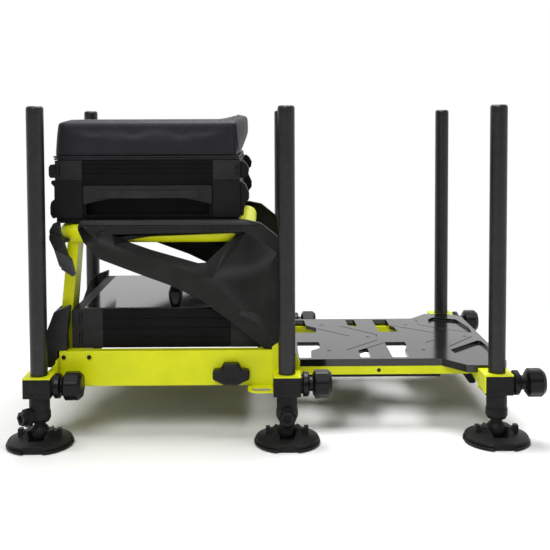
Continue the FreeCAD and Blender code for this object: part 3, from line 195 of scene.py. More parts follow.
def moulded_nylon(name, dark, light, roughness, grain, depth, shine=0.12):
    """Moulded plastic: cloudy dark colour, a spark-eroded grain, and edges paler in patches, partly
    rubbed wear and partly a painted highlight. The grain is given in grains to the metre."""
    material, tree = new_material(name)
    place = add_node(tree, "TexCoord").outputs["Object"]
    # A real grain is 0.2 to 0.5 mm across; on the moulded pieces it is drawn at about 1 mm so that it
    # shows. Cloudiness is about 45 mm across, and the patches of paler edge, partly rubbed and partly
    # painted highlight, about 7 mm.
    pores = add_node(tree, "TexNoise", Vector=place, Scale=grain, Detail=2.0)
    cloud = add_node(tree, "TexNoise", Vector=place, Scale=22.0, Detail=4.0)
    scuff = add_node(tree, "TexNoise", Vector=place, Scale=140.0, Detail=5.0)
    shade = add_node(tree, "ValToRGB", Fac=cloud.outputs["Fac"])
    set_ramp(shade, [(0.3, dark), (0.7, light)])
    patches = add_node(tree, "MapRange", Value=scuff.outputs["Fac"], From_Min=0.42, From_Max=0.62,
                       To_Max=0.55)
    rounded, pale_edge = edge_wear_and_highlight(tree, 0.001, patches.outputs[0])
    # The grey on the edges is partly rubbed wear and partly a painted highlight on the rounded edges.
    pale = add_node(tree, "Mix", {"data_type": "RGBA"}, Factor=pale_edge, i6=shade.outputs[0],
                    i7=linear("#6A6A6A"))
    rough = add_node(tree, "MapRange", Value=cloud.outputs["Fac"], To_Min=roughness - 0.06,
                     To_Max=roughness + 0.06)
    bump = add_node(tree, "Bump", Strength=depth, Distance=0.0003, Height=pores.outputs["Fac"],
                    Normal=rounded)
    surface = add_node(tree, "BsdfPrincipled", Base_Color=pale.outputs[2], Roughness=rough.outputs[0],
                       Normal=bump.outputs[0], Specular_IOR_Level=shine)
    add_node(tree, "OutputMaterial", Surface=surface.outputs[0])
    return material


dress(feet + ["seat_clamp_blocks", "footplate_clamp_blocks", "slide_guides", "rail_glides"],
      moulded_nylon("glass_filled_nylon", "#181818", "#232323", roughness=0.45, grain=1000.0,
                    depth=0.25))

knob_names = [name.replace("leg", "clamp_knob") for name in leg_names]
dress(knob_names + ["wing_knobs", "panel_knob"],
      moulded_nylon("knob_nylon", "#09090B", "#0F0F12", roughness=0.3, grain=1300.0, depth=0.12,
                    shine=0.22))


# Side pods: injection-moulded ABS covers, screwed over the frame on both sides. Each is a thin shell
# with crisp facets: a rim along its top, a strut under its window and a broad plate at its front.
# The guards behind them are of the same ABS, rubbed a little paler.

pod_plastic = moulded_nylon("grained_abs", "#1D1D1C", "#272726", roughness=0.46, grain=900.0,
                            depth=0.2)
dress(["rear_guards"], moulded_nylon("guard_abs", "#262626", "#303030", roughness=0.46, grain=900.0,
                                     depth=0.2))

# The shell's face is where the frame's pod has it, and its back edge stops 1 mm before the pod's.
pod_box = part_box("side_pod_right")
pod_face = pod_box[0].y
pod_back = pod_box[1].y - 0.001
pod_wall = 0.0035
pod_edge_radius = 0.0009

# Corners of the pod's outline and window, seen from the side: (x, z, rounding) in millimetres.
pod_outline = [(-419.5, 468, 6), (-423, 450, 10), (-411.5, 420, 12), (-377.5, 384, 10),
               (-284.5, 348, 60), (-227.5, 327, 60), (-159.5, 294, 60), (-94.5, 246, 60),
               (-24.5, 187.5, 3), (28.5, 187.5, 3), (28.5, 398, 10), (6.5, 431, 20),
               (-30.5, 461, 14), (-64.5, 468, 14)]
pod_window = [(-325.5, 423, 3), (-269.5, 403, 40), (-166.5, 373, 12), (-150.5, 374, 5),
              (-104.5, 416, 10), (-84.5, 434, 3), (-88.5, 438, 3), (-269.5, 432, 40)]

# Facet edges: (x, z, depth below the face) in millimetres.
pod_creases = [
    [(-414, 459.4, 0), (-45, 457.8, 0)],
    [(-414, 458.2, 1.8), (-45, 456.6, 1.8)],
    [(-414, 457.0, 0), (-45, 455.4, 0)],
    [(-370, 446.2, 0), (-345.4, 452.4, 0), (-68, 452.2, 0)],
    [(-370, 445.0, 1.5), (-345.4, 451.2, 1.5), (-68, 451.0, 1.5)],
    [(-370, 443.8, 0), (-345.4, 450.0, 0), (-68, 449.8, 0)],
    [(-349.5, 438.8, 0), (-61.8, 442.6, 0), (-135, 340.5, 0), (-243.5, 378.2, 0), (-345.8, 415, 0)],
    [(-345.8, 415, 0), (-378.6, 424.5, 0)],
    [(-61.8, 442.6, 0), (4, 397.5, 0)],
    [(-135, 340.5, 0), (-71, 273.1, 0), (-11.2, 218.3, 0), (8, 197, 0)],
    [(-33.5, 327, 3.0), (-14, 260, 3.0)],
    [(8, 300, 1.0), (8, 240, 1.0)],
]


def rounded_loop(corners, steps=4):
    """Points of a closed outline with each (a, b, radius) corner turned into a small arc."""
    loop = []
    for place, (a, b, radius) in enumerate(corners):
        corner = Vector((a, b))
        back = Vector(corners[place - 1][:2]) - corner
        ahead = Vector(corners[(place + 1) % len(corners)][:2]) - corner
        half = back.angle(ahead) / 2
        reach = min(radius / math.tan(half), 0.45 * back.length, 0.45 * ahead.length)
        start = corner + back.normalized() * reach
        end = corner + ahead.normalized() * reach
        for step in range(steps + 1):
            t = step / steps
            loop.append(start * (1 - t) ** 2 + corner * 2 * t * (1 - t) + end * t ** 2)
    return loop


def inside(point, loop):
    """True if a 2-D point lies within a closed loop."""
    odd = False
    for a, b in zip(loop, loop[1:] + loop[:1]):
        if (a.y > point.y) != (b.y > point.y):
            if point.x < (b.x - a.x) * (point.y - a.y) / (b.y - a.y) + a.x:
                odd = not odd
    return odd


# How far the pod's edges lie behind its face, in millimetres: little on top and at the front, more
# under the strut, and most round the window.
top_edge_depth = 3.0
strut_edge_depth = 9.0
window_edge_depth = 15.0
top_edge_height = 440
front_edge_place = 20


def outline_depth(point):
    """Depth of the outline's edge at a point of it."""
    if point.y > top_edge_height or point.x > front_edge_place:
        return top_edge_depth
    return strut_edge_depth


def pod_shell(side):
    """Triangulates the facets and turns the edges in as far as the pod's back."""
    outline = rounded_loop(pod_outline)
    window = rounded_loop(pod_window)
    flat = list(outline) + list(window)
    depth = [outline_depth(point) for point in outline] + [window_edge_depth] * len(window)
    edges = [(i, (i + 1) % len(outline)) for i in range(len(outline))]
    edges += [(len(outline) + i, len(outline) + (i + 1) % len(window)) for i in range(len(window))]
    for crease in pod_creases:
        for a, b in zip(crease, crease[1:]):
            edges.append((len(flat), len(flat) + 1))
            flat += [Vector(a[:2]), Vector(b[:2])]
            depth += [a[2], b[2]]
    join_distance = 0.05
    points, _, triangles, sources, _, _ = delaunay_2d_cdt(flat, edges, [], 0, join_distance)
    mesh = bmesh.new()
    corners = []
    for point, source in zip(points, sources):
        inward = depth[source[0]] if source else 0.0
        corners.append(mesh.verts.new((point.x / 1000, pod_face + inward / 1000, point.y / 1000)))
    for triangle in triangles:
        middle = sum((points[i] for i in triangle), Vector((0, 0))) / 3
        if inside(middle, outline) and not inside(middle, window):
            mesh.faces.new([corners[i] for i in triangle])
    loose = [vert for vert in mesh.verts if not vert.link_faces]
    bmesh.ops.delete(mesh, geom=loose, context="VERTS")
    rim = [edge for edge in mesh.edges if edge.is_boundary]
    turned = bmesh.ops.extrude_edge_only(mesh, edges=rim)["geom"]
    for vert in turned:
        if isinstance(vert, bmesh.types.BMVert):
            vert.co.y = pod_back
    bmesh.ops.recalc_face_normals(mesh, faces=mesh.faces)
    largest = max(mesh.faces, key=lambda face: face.calc_area())
    if largest.normal.y > 0:
        bmesh.ops.reverse_faces(mesh, faces=mesh.faces)
    if side == "left":
        for vert in mesh.verts:
            vert.co.y = -vert.co.y
        bmesh.ops.reverse_faces(mesh, faces=mesh.faces)
    return mesh


def add_piece(name, mesh, material, body):
    """Makes an object of a bmesh, with its finish, and lets it ride on its body."""
    data = bpy.data.meshes.new(name)
    mesh.to_mesh(data)
    mesh.free()
    data.materials.append(material)
    piece = bpy.data.objects.new(name, data)
    bpy.context.collection.objects.link(piece)
    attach(piece, body)
    return piece


for side in ("right", "left"):
    pod = add_piece("pod_shell_" + side, pod_shell(side), pod_plastic, "frame")
    shell = pod.modifiers.new("wall", "SOLIDIFY")
    shell.thickness = pod_wall
    shell.offset = -1.0
    soft = pod.modifiers.new("moulded_edges", "BEVEL")
    soft.width = pod_edge_radius
    soft.segments = 2
    soft.limit_method = "ANGLE"
    soft.angle_limit = math.radians(14)
    pod.data.shade_smooth()
    pod.data.set_sharp_from_angle(angle=math.radians(40))
    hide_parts("side_pod_" + side)


# Units: extruded aluminium profiles, anodised black, between moulded corner blocks. The handles, clips,
# seat base and drawers are moulded too, and each handle has a softer grip let into it.

def drawn_profile():
    """Anodised extrusion: near black, with fine lines along its length and a soft sheen."""
    material, tree = new_material("black_extruded_profile")
    place = add_node(tree, "TexCoord").outputs["Object"]
    # Die lines run level along the profile; real ones are 0.1 to 0.5 mm, drawn at about 1 mm so that
    # they show. Cloudiness is about 80 mm across.
    stretched = add_node(tree, "Mapping", Vector=place, Scale=(5.0, 5.0, 1000.0))
    lines = add_node(tree, "TexNoise", Vector=stretched.outputs[0], Scale=1.0, Detail=3.0)
    cloud = add_node(tree, "TexNoise", Vector=place, Scale=12.0, Detail=3.0)
    shade = add_node(tree, "ValToRGB", Fac=cloud.outputs["Fac"])
    set_ramp(shade, [(0.3, "#070707"), (0.7, "#0F0F0F")])
    rounded = add_node(tree, "Bevel", {"samples": 4}, Radius=0.0008)
    rough = add_node(tree, "MapRange", Value=lines.outputs["Fac"], To_Min=0.38, To_Max=0.55)
    bump = add_node(tree, "Bump", Strength=0.15, Distance=0.0003, Height=lines.outputs["Fac"],
                    Normal=rounded.outputs[0])
    surface = add_node(tree, "BsdfPrincipled", Base_Color=shade.outputs[0], Roughness=rough.outputs[0],
                       Normal=bump.outputs[0], Specular_IOR_Level=0.1)
    add_node(tree, "OutputMaterial", Surface=surface.outputs[0])
    return material


dress(["lower_housing", "deep_tray", "shallow_tray"], drawn_profile())
dress(["lower_corner_blocks", "shallow_corner_blocks", "carry_handles", "seat_base", "drawer_upper",
       "drawer_lower"],
      moulded_nylon("corner_block_abs", "#222222", "#2B2B2B", roughness=0.5, grain=800.0, depth=0.25))
dress(["deep_corner_blocks", "deep_front_clips", "deep_rear_clips", "shallow_front_clips"],
      moulded_nylon("dark_block_abs", "#131313", "#1B1B1B", roughness=0.46, grain=800.0, depth=0.25))
dress(["handle_grips"],
      moulded_nylon("grip_rubber", "#242424", "#303030", roughness=0.6, grain=700.0, depth=0.3))


# Rear latches: moulded levers that swing on brackets by the ring's rear corners. The arm is plain dark
# nylon, and its lower end has a paler ribbed grip moulded on.

# The grip starts at a slanting line, from (-0.4705, 0.408) to (-0.4415, 0.394) in X and Z. Height plus
# grip_slope of X is grip_level all along it. Its ribs run beside it, one to every 4 mm of height.
grip_slope = 0.483
grip_level = 0.1808
half_rib = 0.002


def lever_nylon():
    """Two-shot moulding: dark arm above a slanting line, grey ribbed grip below it, with painted
    highlights on the ribs' crests and painted shade in their grooves.
    """
    material, tree = new_material("two_shot_lever_nylon")
    place = add_node(tree, "TexCoord").outputs["Object"]
    split = add_node(tree, "SeparateXYZ", Vector=place)
    slant = add_node(tree, "Math", {"operation": "MULTIPLY_ADD"}, i0=split.outputs["X"],
                     i1=grip_slope, i2=split.outputs["Z"])
    grip = add_node(tree, "Math", {"operation": "LESS_THAN"}, i0=slant.outputs[0], i1=grip_level)
    ribs = add_node(tree, "Math", {"operation": "PINGPONG"}, i0=slant.outputs[0], i1=half_rib)
    # Cloudiness is about 14 mm across.
    cloud = add_node(tree, "TexNoise", Vector=place, Scale=70.0, Detail=4.0)
    arm = add_node(tree, "ValToRGB", Fac=cloud.outputs["Fac"])
    set_ramp(arm, [(0.3, "#121212"), (0.7, "#1C1C1C")])
    rib = add_node(tree, "MapRange", Value=ribs.outputs[0], From_Max=half_rib)
    # The grip's grey is paler on each rib's crest and darker in the groove between: a painted highlight
    # and painted shade that follow the ribs' relief.
    rib_shaded_rubber = add_node(tree, "ValToRGB", Fac=rib.outputs[0])
    set_ramp(rib_shaded_rubber, [(0.1, "#232323"), (0.6, "#3F3F3F")])
    shade = add_node(tree, "Mix", {"data_type": "RGBA"}, Factor=grip.outputs[0], i6=arm.outputs[0],
                     i7=rib_shaded_rubber.outputs[0])
    relief = add_node(tree, "Math", {"operation": "MULTIPLY"}, i0=rib.outputs[0], i1=grip.outputs[0])
    rounded = add_node(tree, "Bevel", {"samples": 4}, Radius=0.001)
    rough = add_node(tree, "MapRange", Value=cloud.outputs["Fac"], To_Min=0.4, To_Max=0.55)
    bump = add_node(tree, "Bump", Strength=0.5, Distance=0.001, Height=relief.outputs[0],
                    Normal=rounded.outputs[0])
    surface = add_node(tree, "BsdfPrincipled", Base_Color=shade.outputs[2], Roughness=rough.outputs[0],
                       Normal=bump.outputs[0], Specular_IOR_Level=0.25)
    add_node(tree, "OutputMaterial", Surface=surface.outputs[0])
    return material


dress(["latch_levers"], lever_nylon())


# Lid panel and footplate deck: black ABS with a polished face. The panel lies in the lower unit's top,
# and the deck is screwed down on the footplate's rails.

def gloss_abs(name, colour, roughness):
    """Polished ABS sheet: black, mirror smooth, with hairline scratches that only catch the light."""
    material, tree = new_material(name)
    place = add_node(tree, "TexCoord").outputs["Object"]
    # Patches of scratches are about 5 mm across, and cloudiness about 110 mm.
    scratch = add_node(tree, "TexNoise", Vector=place, Scale=220.0, Detail=6.0)
    cloud = add_node(tree, "TexNoise", Vector=place, Scale=9.0, Detail=2.0)
    shade = add_node(tree, "ValToRGB", Fac=cloud.outputs["Fac"])
    set_ramp(shade, [(0.3, colour), (0.7, "#1A1A1B")])
    rough = add_node(tree, "MapRange", Value=scratch.outputs["Fac"], From_Min=0.35, From_Max=0.8,
                     To_Min=roughness, To_Max=roughness + 0.08)
    rounded = add_node(tree, "Bevel", {"samples": 4}, Radius=0.001)
    surface = add_node(tree, "BsdfPrincipled", Base_Color=shade.outputs[0], Roughness=rough.outputs[0],
                       Normal=rounded.outputs[0], IOR=1.55)
    add_node(tree, "OutputMaterial", Surface=surface.outputs[0])
    return material


dress(["lid_panel"], gloss_abs("polished_abs", "#121213", roughness=0.08))
dress(["footplate_deck"], gloss_abs("glossy_abs_deck", "#121213", roughness=0.12))


# Screws, bolts and the hinge pin: turned steel, blackened in hot oil, with heads that sit just proud of
# the rails, the pods and the deck.

def blackened_steel():
    """Oil-blackened steel: near black metal, a little brown, rubbed bright on its rim."""
    material, tree = new_material("blackened_steel")
    place = add_node(tree, "TexCoord").outputs["Object"]
    # The rubbed patches are about 2.5 mm across.
    grime = add_node(tree, "TexNoise", Vector=place, Scale=420.0, Detail=4.0)
    patches = add_node(tree, "MapRange", Value=grime.outputs["Fac"], From_Min=0.4, From_Max=0.6)
    rounded, pale_edge = edge_wear_and_highlight(tree, 0.0006, patches.outputs[0])
    shade = add_node(tree, "Mix", {"data_type": "RGBA"}, Factor=pale_edge, i6=linear("#2A2927"),
                     i7=linear("#8A8884"))
    rough = add_node(tree, "MapRange", Value=grime.outputs["Fac"], To_Min=0.3, To_Max=0.45)
    surface = add_node(tree, "BsdfPrincipled", Base_Color=shade.outputs[2], Roughness=rough.outputs[0],
                       Normal=rounded, Metallic=1.0)
    add_node(tree, "OutputMaterial", Surface=surface.outputs[0])
    return material


dress(["frame_bolts", "footplate_screws", "lid_hinge_pin"], blackened_steel())


# Cushion: a block of moulded foam on the seat's board, in a sewn cover of black leatherette. The cover
# is drawn down over the foam and fixed under the board, and its front rises to a low roll.

def leatherette():
    """Embossed vinyl: near black with a blue cast, a grain of rounded pebbles about 2 mm across."""
    material, tree = new_material("black_leatherette")
    place = add_node(tree, "TexCoord").outputs["Object"]
    # Cloudiness in the vinyl is about 70 mm across.
    pebbles = add_node(tree, "TexVoronoi", Vector=place, Scale=480.0)
    cloud = add_node(tree, "TexNoise", Vector=place, Scale=14.0, Detail=4.0)
    shade = add_node(tree, "ValToRGB", Fac=cloud.outputs["Fac"])
    set_ramp(shade, [(0.3, "#19191D"), (0.7, "#222227")])
    rough = add_node(tree, "MapRange", Value=pebbles.outputs["Distance"], To_Min=0.42, To_Max=0.62)
    bump = add_node(tree, "Bump", Strength=0.25, Distance=0.0003, Height=pebbles.outputs["Distance"])
    surface = add_node(tree, "BsdfPrincipled", Base_Color=shade.outputs[0], Roughness=rough.outputs[0],
                       Normal=bump.outputs[0], Specular_IOR_Level=0.2)
    add_node(tree, "OutputMaterial", Surface=surface.outputs[0])
    return material


vinyl = leatherette()

# The cushion stands on the board, as wide as the frame's solid and with its own front and rear edges.
solid_low, solid_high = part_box("seat_cushion")
board_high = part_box("seat_base")[1]
cushion_floor = solid_low.z + 0.0003
cushion_crest = solid_low.z + 0.080
cushion_rear = solid_low.x - 0.009
cushion_front = board_high.x - 0.002
cushion_half_width = solid_high.y
cushion_middle = cushion_rear + 0.2105
rear_corner = 0.022
front_corner = 0.008

# The walls from the floor up: (height, inset, bow of the front, lean of the rear).
cushion_walls = [(0.0, 0.0015, 0.001, 0.0), (0.010, 0.0, 0.003, 0.0015),
                 (0.028, -0.001, 0.008, 0.004), (0.050, -0.001, 0.015, 0.006)]
shoulder = 0.007
shoulder_bow = 0.019
shoulder_lean = 0.007

# The top: its crown, the roll along the front, and the rings that close it, as shares of its outline.
crown_rise = 0.003
roll_rise = 0.013
roll_start = cushion_front - 0.0455
roll_end = cushion_front + 0.0135
top_rings = (0.9, 0.75, 0.55, 0.35, 0.15)

# How many points each stretch of the plan has, and how many steps the shoulder.
rear_points = 12
rear_corner_points = 8
side_points = 24
front_corner_points = 5
front_points = 16
shoulder_steps = 5


def smooth_step(low, high, value):
    """0 below low, 1 above high, and a smooth rise between them."""
    t = min(max((value - low) / (high - low), 0.0), 1.0)
    return t * t * (3 - 2 * t)


def corner_arc(x, y, radius, start, steps):
    """Points of a quarter turn about (x, y), which starts at an angle and stops short of its end."""
    angles = [start + math.pi / 2 * step / steps for step in range(steps)]
    return [(x + radius * math.cos(angle), y + radius * math.sin(angle)) for angle in angles]


def cushion_loop(inset, bow, lean):
    """Plan of the cushion: a rounded rectangle, drawn in by inset. Its front bows forward and its rear
    leans in."""
    rear = cushion_rear + lean + inset
    front = cushion_front - inset
    half = cushion_half_width - inset
    rear_side = half - rear_corner
    front_side = half - front_corner
    side_start = rear + rear_corner
    side_end = front - front_corner
    side_step = (side_end - side_start) / side_points
    loop = [(rear, rear_side - 2 * rear_side * step / rear_points) for step in range(rear_points)]
    loop += corner_arc(side_start, -rear_side, rear_corner, math.pi, rear_corner_points)
    loop += [(side_start + side_step * step, -half) for step in range(side_points)]
    loop += corner_arc(side_end, -front_side, front_corner, -math.pi / 2, front_corner_points)
    for step in range(front_points):
        y = -front_side + 2 * front_side * step / front_points
        loop.append((front + bow * (1 - (y / front_side) ** 2), y))
    loop += corner_arc(side_end, front_side, front_corner, 0.0, front_corner_points)
    loop += [(side_end - side_step * step, half) for step in range(side_points)]
    loop += corner_arc(side_start, rear_side, rear_corner, math.pi / 2, rear_corner_points)
    return loop


def cushion_top(x, y):
    """Height of the top: a slight crown, and a roll that rises along the front edge."""
    across = max(1 - (y / cushion_half_width) ** 2, 0.0)
    return cushion_crest + across * (crown_rise + roll_rise * smooth_step(roll_start, roll_end, x))


def cushion_form(shrink):
    """Closed form of the cushion: walls, rounded shoulders, crowned top and flat underside."""
    mesh = bmesh.new()
    rings = []
    for height, inset, bow, lean in cushion_walls:
        z = cushion_floor + height + shrink * 0.5
        rings.append([(x, y, z) for x, y in cushion_loop(inset + shrink, bow, lean)])
    for step in range(shoulder_steps + 1):
        angle = math.pi / 2 * step / shoulder_steps
        inset = shrink + shoulder * (1 - math.cos(angle))
        drop = shoulder * (1 - math.sin(angle)) + shrink
        loop = cushion_loop(inset, shoulder_bow, shoulder_lean)
        rings.append([(x, y, cushion_top(x, y) - drop) for x, y in loop])
    last = rings[-1]
    for scale in top_rings:
        ring = []
        for x, y, _ in last:
            px = cushion_middle + (x - cushion_middle) * scale
            py = y * scale
            ring.append((px, py, cushion_top(px, py) - shrink))
        rings.append(ring)
    loops = [[mesh.verts.new(point) for point in ring] for ring in rings]
    count = len(loops[0])
    for low, high in zip(loops, loops[1:]):
        for i in range(count):
            j = (i + 1) % count
            mesh.faces.new((low[i], low[j], high[j], high[i]))
    mesh.faces.new(loops[-1])
    mesh.faces.new(loops[0][::-1])
    bmesh.ops.recalc_face_normals(mesh, faces=mesh.faces)
    return mesh


def bake_modifiers(piece):
    """Applies a piece's modifiers to its mesh."""
    graph = bpy.context.evaluated_depsgraph_get()
    data = bpy.data.meshes.new_from_object(piece.evaluated_get(graph), depsgraph=graph)
    piece.modifiers.clear()
    piece.data = data


# The cover's foot is held, and no point moves out or sinks further than these, as the board and the
# foam are behind it.
held_band = 0.008
most_swelling = 0.0045
most_sinking = 0.0005
swell_frames = 20


def fill_with_air(piece):
    """Swells a cover with Cloth pressure, within its limits."""
    data = piece.data
    start = [vert.co.copy() for vert in data.vertices]
    held = piece.vertex_groups.new(name="held")
    low = cushion_floor + held_band
    held.add([vert.index for vert in data.vertices if vert.co.z < low], 1.0, "REPLACE")
    cloth = piece.modifiers.new("air", "CLOTH")
    cloth.settings.use_pressure = True
    cloth.settings.uniform_pressure_force = 4.0
    cloth.settings.effector_weights.gravity = 0.0
    cloth.settings.vertex_group_mass = "held"
    cloth.settings.quality = 5
    cloth.settings.tension_stiffness = 120.0
    cloth.settings.compression_stiffness = 120.0
    cloth.settings.shear_stiffness = 60.0
    cloth.settings.bending_stiffness = 30.0
    cloth.point_cache.frame_end = swell_frames
    for moment in range(1, swell_frames + 1):
        bpy.context.scene.frame_set(moment)
    graph = bpy.context.evaluated_depsgraph_get()
    swollen = piece.evaluated_get(graph).data
    moved = [vert.co.copy() for vert in swollen.vertices]
    piece.modifiers.remove(cloth)
    bpy.context.scene.frame_set(1)
    for vert, before, after in zip(data.vertices, start, moved):
        step = after - before
        limit = most_swelling if step.dot(vert.normal) > 0 else most_sinking
        if step.length > limit:
            step = step.normalized() * limit
        vert.co = before + step


# The cover starts 2 mm too small, and the air brings it to its size.
start_shrink = 0.002
cushion = add_piece("cushion_cover", cushion_form(start_shrink), vinyl, "seat_lid")
remesh = cushion.modifiers.new("even", "REMESH")
remesh.mode = "VOXEL"
remesh.voxel_size = 0.005
bake_modifiers(cushion)
fill_with_air(cushion)
finer = cushion.modifiers.new("finer", "SUBSURF")
finer.levels = 1
finer.render_levels = 1
bake_modifiers(cushion)
cushion.data.materials.clear()
cushion.data.materials.append(vinyl)
cushion.data.shade_smooth()
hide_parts("seat_cushion")


# Seams of the cover: a piping where it meets the board, a welt where the front panel is sewn on, and a
# row of stitches behind the welt. Their places are taken from the finished cover, so they lie on it.

piping_radius = 0.0018
piping_height = cushion_floor + 0.0022
piping_inset = -0.0002
piping_bow = 0.002
welt_radius = 0.0016
stitch_length = 0.003
stitch_thickness = 0.0009
stitch_pitch = 0.0042

# The heights between which a seam climbs a side, half its run over the top, and the X places of the
# welt and of the stitches at the foot and at the crest.
seam_low = cushion_floor + 0.0017
seam_high = cushion_crest - 0.011
seam_reach = cushion_half_width - 0.0045
welt_places = (cushion_front + 0.0013, cushion_front - 0.0043)
stitch_places = (cushion_front - 0.011, cushion_front - 0.014)
seam_side_points = 11
seam_top_points = 61

# Rays for the seams start here, well clear of the cover.
ray_side = 0.3
ray_height = 0.75


def evaluated_mesh(thing):
    """The mesh an object shows, as a bmesh; the object itself is removed."""
    bpy.context.collection.objects.link(thing)
    graph = bpy.context.evaluated_depsgraph_get()
    data = bpy.data.meshes.new_from_object(thing.evaluated_get(graph), depsgraph=graph)
    bpy.data.objects.remove(thing)
    mesh = bmesh.new()
    mesh.from_mesh(data)
    return mesh


def sewn_cord(points, radius, closed):
    """A round cord laid along points."""
    curve = bpy.data.curves.new("cord", "CURVE")
    curve.dimensions = "3D"
    curve.bevel_depth = radius
    curve.bevel_resolution = 2
    run = curve.splines.new("POLY")
    run.points.add(len(points) - 1)
    for spot, point in zip(run.points, points):
        spot.co = (*point, 1.0)
    run.use_cyclic_u = closed
    return evaluated_mesh(bpy.data.objects.new("cord", curve))


def seam_path(cover, foot, crest):
    """A seam's run up the right side, over the top and down the left; foot and crest are X places."""
    sides = []
    for side in (-1, 1):
        spots = []
        for step in range(seam_side_points):
            climb = step / (seam_side_points - 1)
            start = Vector((foot + (crest - foot) * climb, side * ray_side,
                            seam_low + (seam_high - seam_low) * climb))
            spots.append(cover.ray_cast(start, Vector((0, -side, 0)))[0])
        sides.append(spots)
    over = []
    for step in range(seam_top_points):
        y = -seam_reach + 2 * seam_reach * step / (seam_top_points - 1)
        over.append(cover.ray_cast(Vector((crest, y, ray_height)), Vector((0, 0, -1)))[0])
    return [spot for spot in sides[0] + over + sides[1][::-1] if spot is not None]


def stitch_nodes(thread):
    """Node group that lays a stitch at every pitch along a path of edges."""
    group = bpy.data.node_groups.new("stitches", "GeometryNodeTree")
    group.interface.new_socket("Path", in_out="INPUT", socket_type="NodeSocketGeometry")
    pitch = group.interface.new_socket("Pitch", in_out="INPUT", socket_type="NodeSocketFloat")
    group.interface.new_socket("Stitches", in_out="OUTPUT", socket_type="NodeSocketGeometry")
    kinds = ["NodeGroupInput", "GeometryNodeMeshToCurve", "GeometryNodeCurveToPoints",
             "GeometryNodeMeshIcoSphere", "GeometryNodeInstanceOnPoints",
             "GeometryNodeRealizeInstances", "GeometryNodeSetMaterial", "NodeGroupOutput"]
    taken, curve, points, bead, laid, real, coloured, given = [group.nodes.new(kind) for kind in kinds]
    points.mode = "LENGTH"
    bead.inputs["Radius"].default_value = 0.5
    bead.inputs["Subdivisions"].default_value = 2
    laid.inputs["Scale"].default_value = (stitch_thickness, stitch_thickness, stitch_length)
    coloured.inputs["Material"].default_value = thread
    links = [(taken.outputs["Path"], curve.inputs[0]), (curve.outputs[0], points.inputs["Curve"]),
             (taken.outputs["Pitch"], points.inputs["Length"]),
             (points.outputs["Points"], laid.inputs["Points"]),
             (bead.outputs["Mesh"], laid.inputs["Instance"]),
             (points.outputs["Rotation"], laid.inputs["Rotation"]), (laid.outputs[0], real.inputs[0]),
             (real.outputs[0], coloured.inputs["Geometry"]), (coloured.outputs[0], given.inputs[0])]
    for source, target in links:
        group.links.new(source, target)
    return group, pitch.identifier


def row_of_stitches(points, thread):
    """Stitches along points, as a bmesh."""
    data = bpy.data.meshes.new("path")
    data.from_pydata(points, [(i, i + 1) for i in range(len(points) - 1)], [])
    path = bpy.data.objects.new("path", data)
    row = path.modifiers.new("stitches", "NODES")
    row.node_group, pitch_input = stitch_nodes(thread)
    row[pitch_input] = stitch_pitch
    return evaluated_mesh(path)


def cover_surface():
    """The finished cover, ready for ray casts."""
    points = [vert.co.copy() for vert in cushion.data.vertices]
    return BVHTree.FromPolygons(points, [list(face.vertices) for face in cushion.data.polygons])


cover = cover_surface()
base_run = [Vector((x, y, piping_height)) for x, y in cushion_loop(piping_inset, piping_bow, 0.0)]
add_piece("cushion_piping", sewn_cord(base_run, piping_radius, True), vinyl, "seat_lid")
add_piece("cushion_welt", sewn_cord(seam_path(cover, *welt_places), welt_radius, False), vinyl,
          "seat_lid")
thread = moulded_nylon("waxed_thread", "#232327", "#34343A", roughness=0.5, grain=2500.0, depth=0.3)
add_piece("cushion_stitches", row_of_stitches(seam_path(cover, *stitch_places), thread), thread,
          "seat_lid")


# Studio: a wide floor of white paper under the feet, a white surround, two soft lights and the camera
# that was fitted to the photograph.

floor_half = 30.0

# The paper fades to plain white between these distances from the origin.
fade_start = 0.72
fade_end = 1.3


def studio_paper():
    """White studio paper: it takes the object's shadow, and fades to plain white away from it."""
    material, tree = new_material("studio_paper")
    place = add_node(tree, "TexCoord").outputs["Object"]
    away = add_node(tree, "VectorMath", {"operation": "LENGTH"}, i0=place)
    ray = add_node(tree, "LightPath")
    seen = add_node(tree, "Math", {"operation": "MAXIMUM"}, i0=ray.outputs["Is Camera Ray"],
                    i1=ray.outputs["Is Glossy Ray"])
    far = add_node(tree, "MapRange", {"interpolation_type": "SMOOTHSTEP"}, Value=away.outputs["Value"],
                   From_Min=fade_start, From_Max=fade_end)
    fade = add_node(tree, "Math", {"operation": "MULTIPLY"}, i0=far.outputs[0], i1=seen.outputs[0])
    paper = add_node(tree, "BsdfPrincipled", Base_Color=linear("#FAFAFA"), Roughness=1.0,
                     Specular_IOR_Level=0.0)
    white = add_node(tree, "Emission", Color=(1.0, 1.0, 1.0, 1.0), Strength=1.0)
    mixed = add_node(tree, "MixShader", i0=fade.outputs[0], i1=paper.outputs[0], i2=white.outputs[0])
    add_node(tree, "OutputMaterial", Surface=mixed.outputs[0])
    return material


floor_mesh = bpy.data.meshes.new("studio_floor")
floor_corners = [(x * floor_half, y * floor_half, 0) for x, y in ((-1, -1), (1, -1), (1, 1), (-1, 1))]
floor_mesh.from_pydata(floor_corners, [], [(0, 1, 2, 3)])
floor = bpy.data.objects.new("studio_floor", floor_mesh)
bpy.context.collection.objects.link(floor)
floor_mesh.materials.append(studio_paper())

world = bpy.data.worlds.new("studio")
bpy.context.scene.world = world
world.use_nodes = True
world.node_tree.nodes.clear()


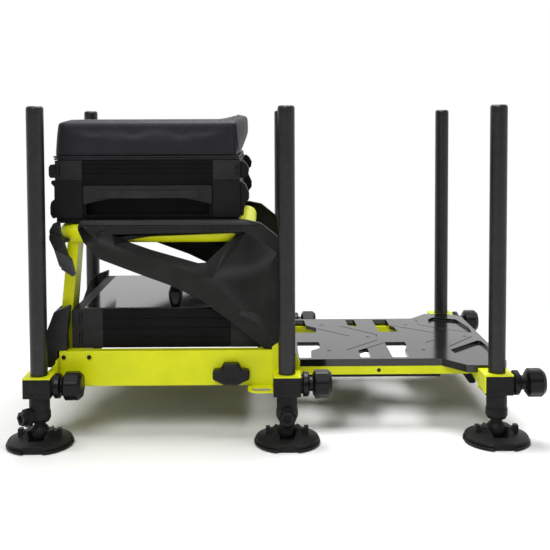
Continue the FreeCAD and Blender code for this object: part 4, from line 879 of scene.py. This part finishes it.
def studio_sky(tree):
    """White to the camera; in reflections white behind, above and to the right, and dark in front."""
    ray = add_node(tree, "LightPath")
    way = add_node(tree, "SeparateXYZ", Vector=add_node(tree, "TexCoord").outputs["Generated"])
    behind = add_node(tree, "MapRange", Value=way.outputs["Y"], From_Min=-0.15, From_Max=0.45)
    above = add_node(tree, "MapRange", Value=way.outputs["Z"], From_Min=0.3, From_Max=0.9,
                     To_Max=0.8)
    right = add_node(tree, "MapRange", Value=way.outputs["X"], From_Min=0.35, From_Max=0.9,
                     To_Max=0.7)
    upper = add_node(tree, "Math", {"operation": "MAXIMUM"}, i0=behind.outputs[0], i1=above.outputs[0])
    widest = add_node(tree, "Math", {"operation": "MAXIMUM"}, i0=upper.outputs[0], i1=right.outputs[0])
    mirrored = add_node(tree, "MapRange", Value=widest.outputs[0], To_Min=0.12, To_Max=1.0)
    shiny = add_node(tree, "Math", {"operation": "MAXIMUM"}, i0=ray.outputs["Is Glossy Ray"],
                     i1=ray.outputs["Is Transmission Ray"])
    shone = add_node(tree, "Mix", {"data_type": "FLOAT"}, Factor=shiny.outputs[0], i2=0.2,
                     i3=mirrored.outputs[0])
    level = add_node(tree, "Mix", {"data_type": "FLOAT"}, Factor=ray.outputs["Is Camera Ray"],
                     i2=shone.outputs[0], i3=1.0)
    sky = add_node(tree, "Background", Color=(1.0, 1.0, 1.0, 1.0), Strength=level.outputs[0])
    add_node(tree, "OutputWorld", Surface=sky.outputs[0])


studio_sky(world.node_tree)


def softbox(name, place, target, size, power):
    """A square studio light pointed at a spot on the object."""
    lamp = bpy.data.lights.new(name, "AREA")
    lamp.size = size
    lamp.energy = power
    light = bpy.data.objects.new(name, lamp)
    light.location = place
    light.rotation_euler = (Vector(target) - Vector(place)).to_track_quat("-Z", "Y").to_euler()
    bpy.context.collection.objects.link(light)


softbox("overhead", (0.1, 0.5, 3.0), (0.0, 0.0, 0.0), size=1.8, power=104.0)
softbox("front_left", (-0.9, -2.7, 3.0), (0.0, 0.0, 0.3), size=1.8, power=77.0)

# Where the camera stands, and how far it is turned, tipped down and rolled, in degrees.
camera_place = (-0.02118, -2.12186, 0.66739)
camera_turn = -0.666
camera_tip = 2.819
camera_roll = -0.2246

camera_data = bpy.data.cameras.new("photo_camera")
camera_data.sensor_width = 36.0
camera_data.lens = 57.435
camera_data.shift_y = -0.1909
camera = bpy.data.objects.new("photo_camera", camera_data)
bpy.context.collection.objects.link(camera)
camera.matrix_world = (Matrix.Translation(camera_place)
                       @ Matrix.Rotation(math.radians(camera_turn), 4, "Z")
                       @ Matrix.Rotation(math.radians(90 - camera_tip), 4, "X")
                       @ Matrix.Rotation(math.radians(camera_roll), 4, "Z"))
bpy.context.scene.camera = camera
bpy.context.scene.view_settings.view_transform = "Standard"
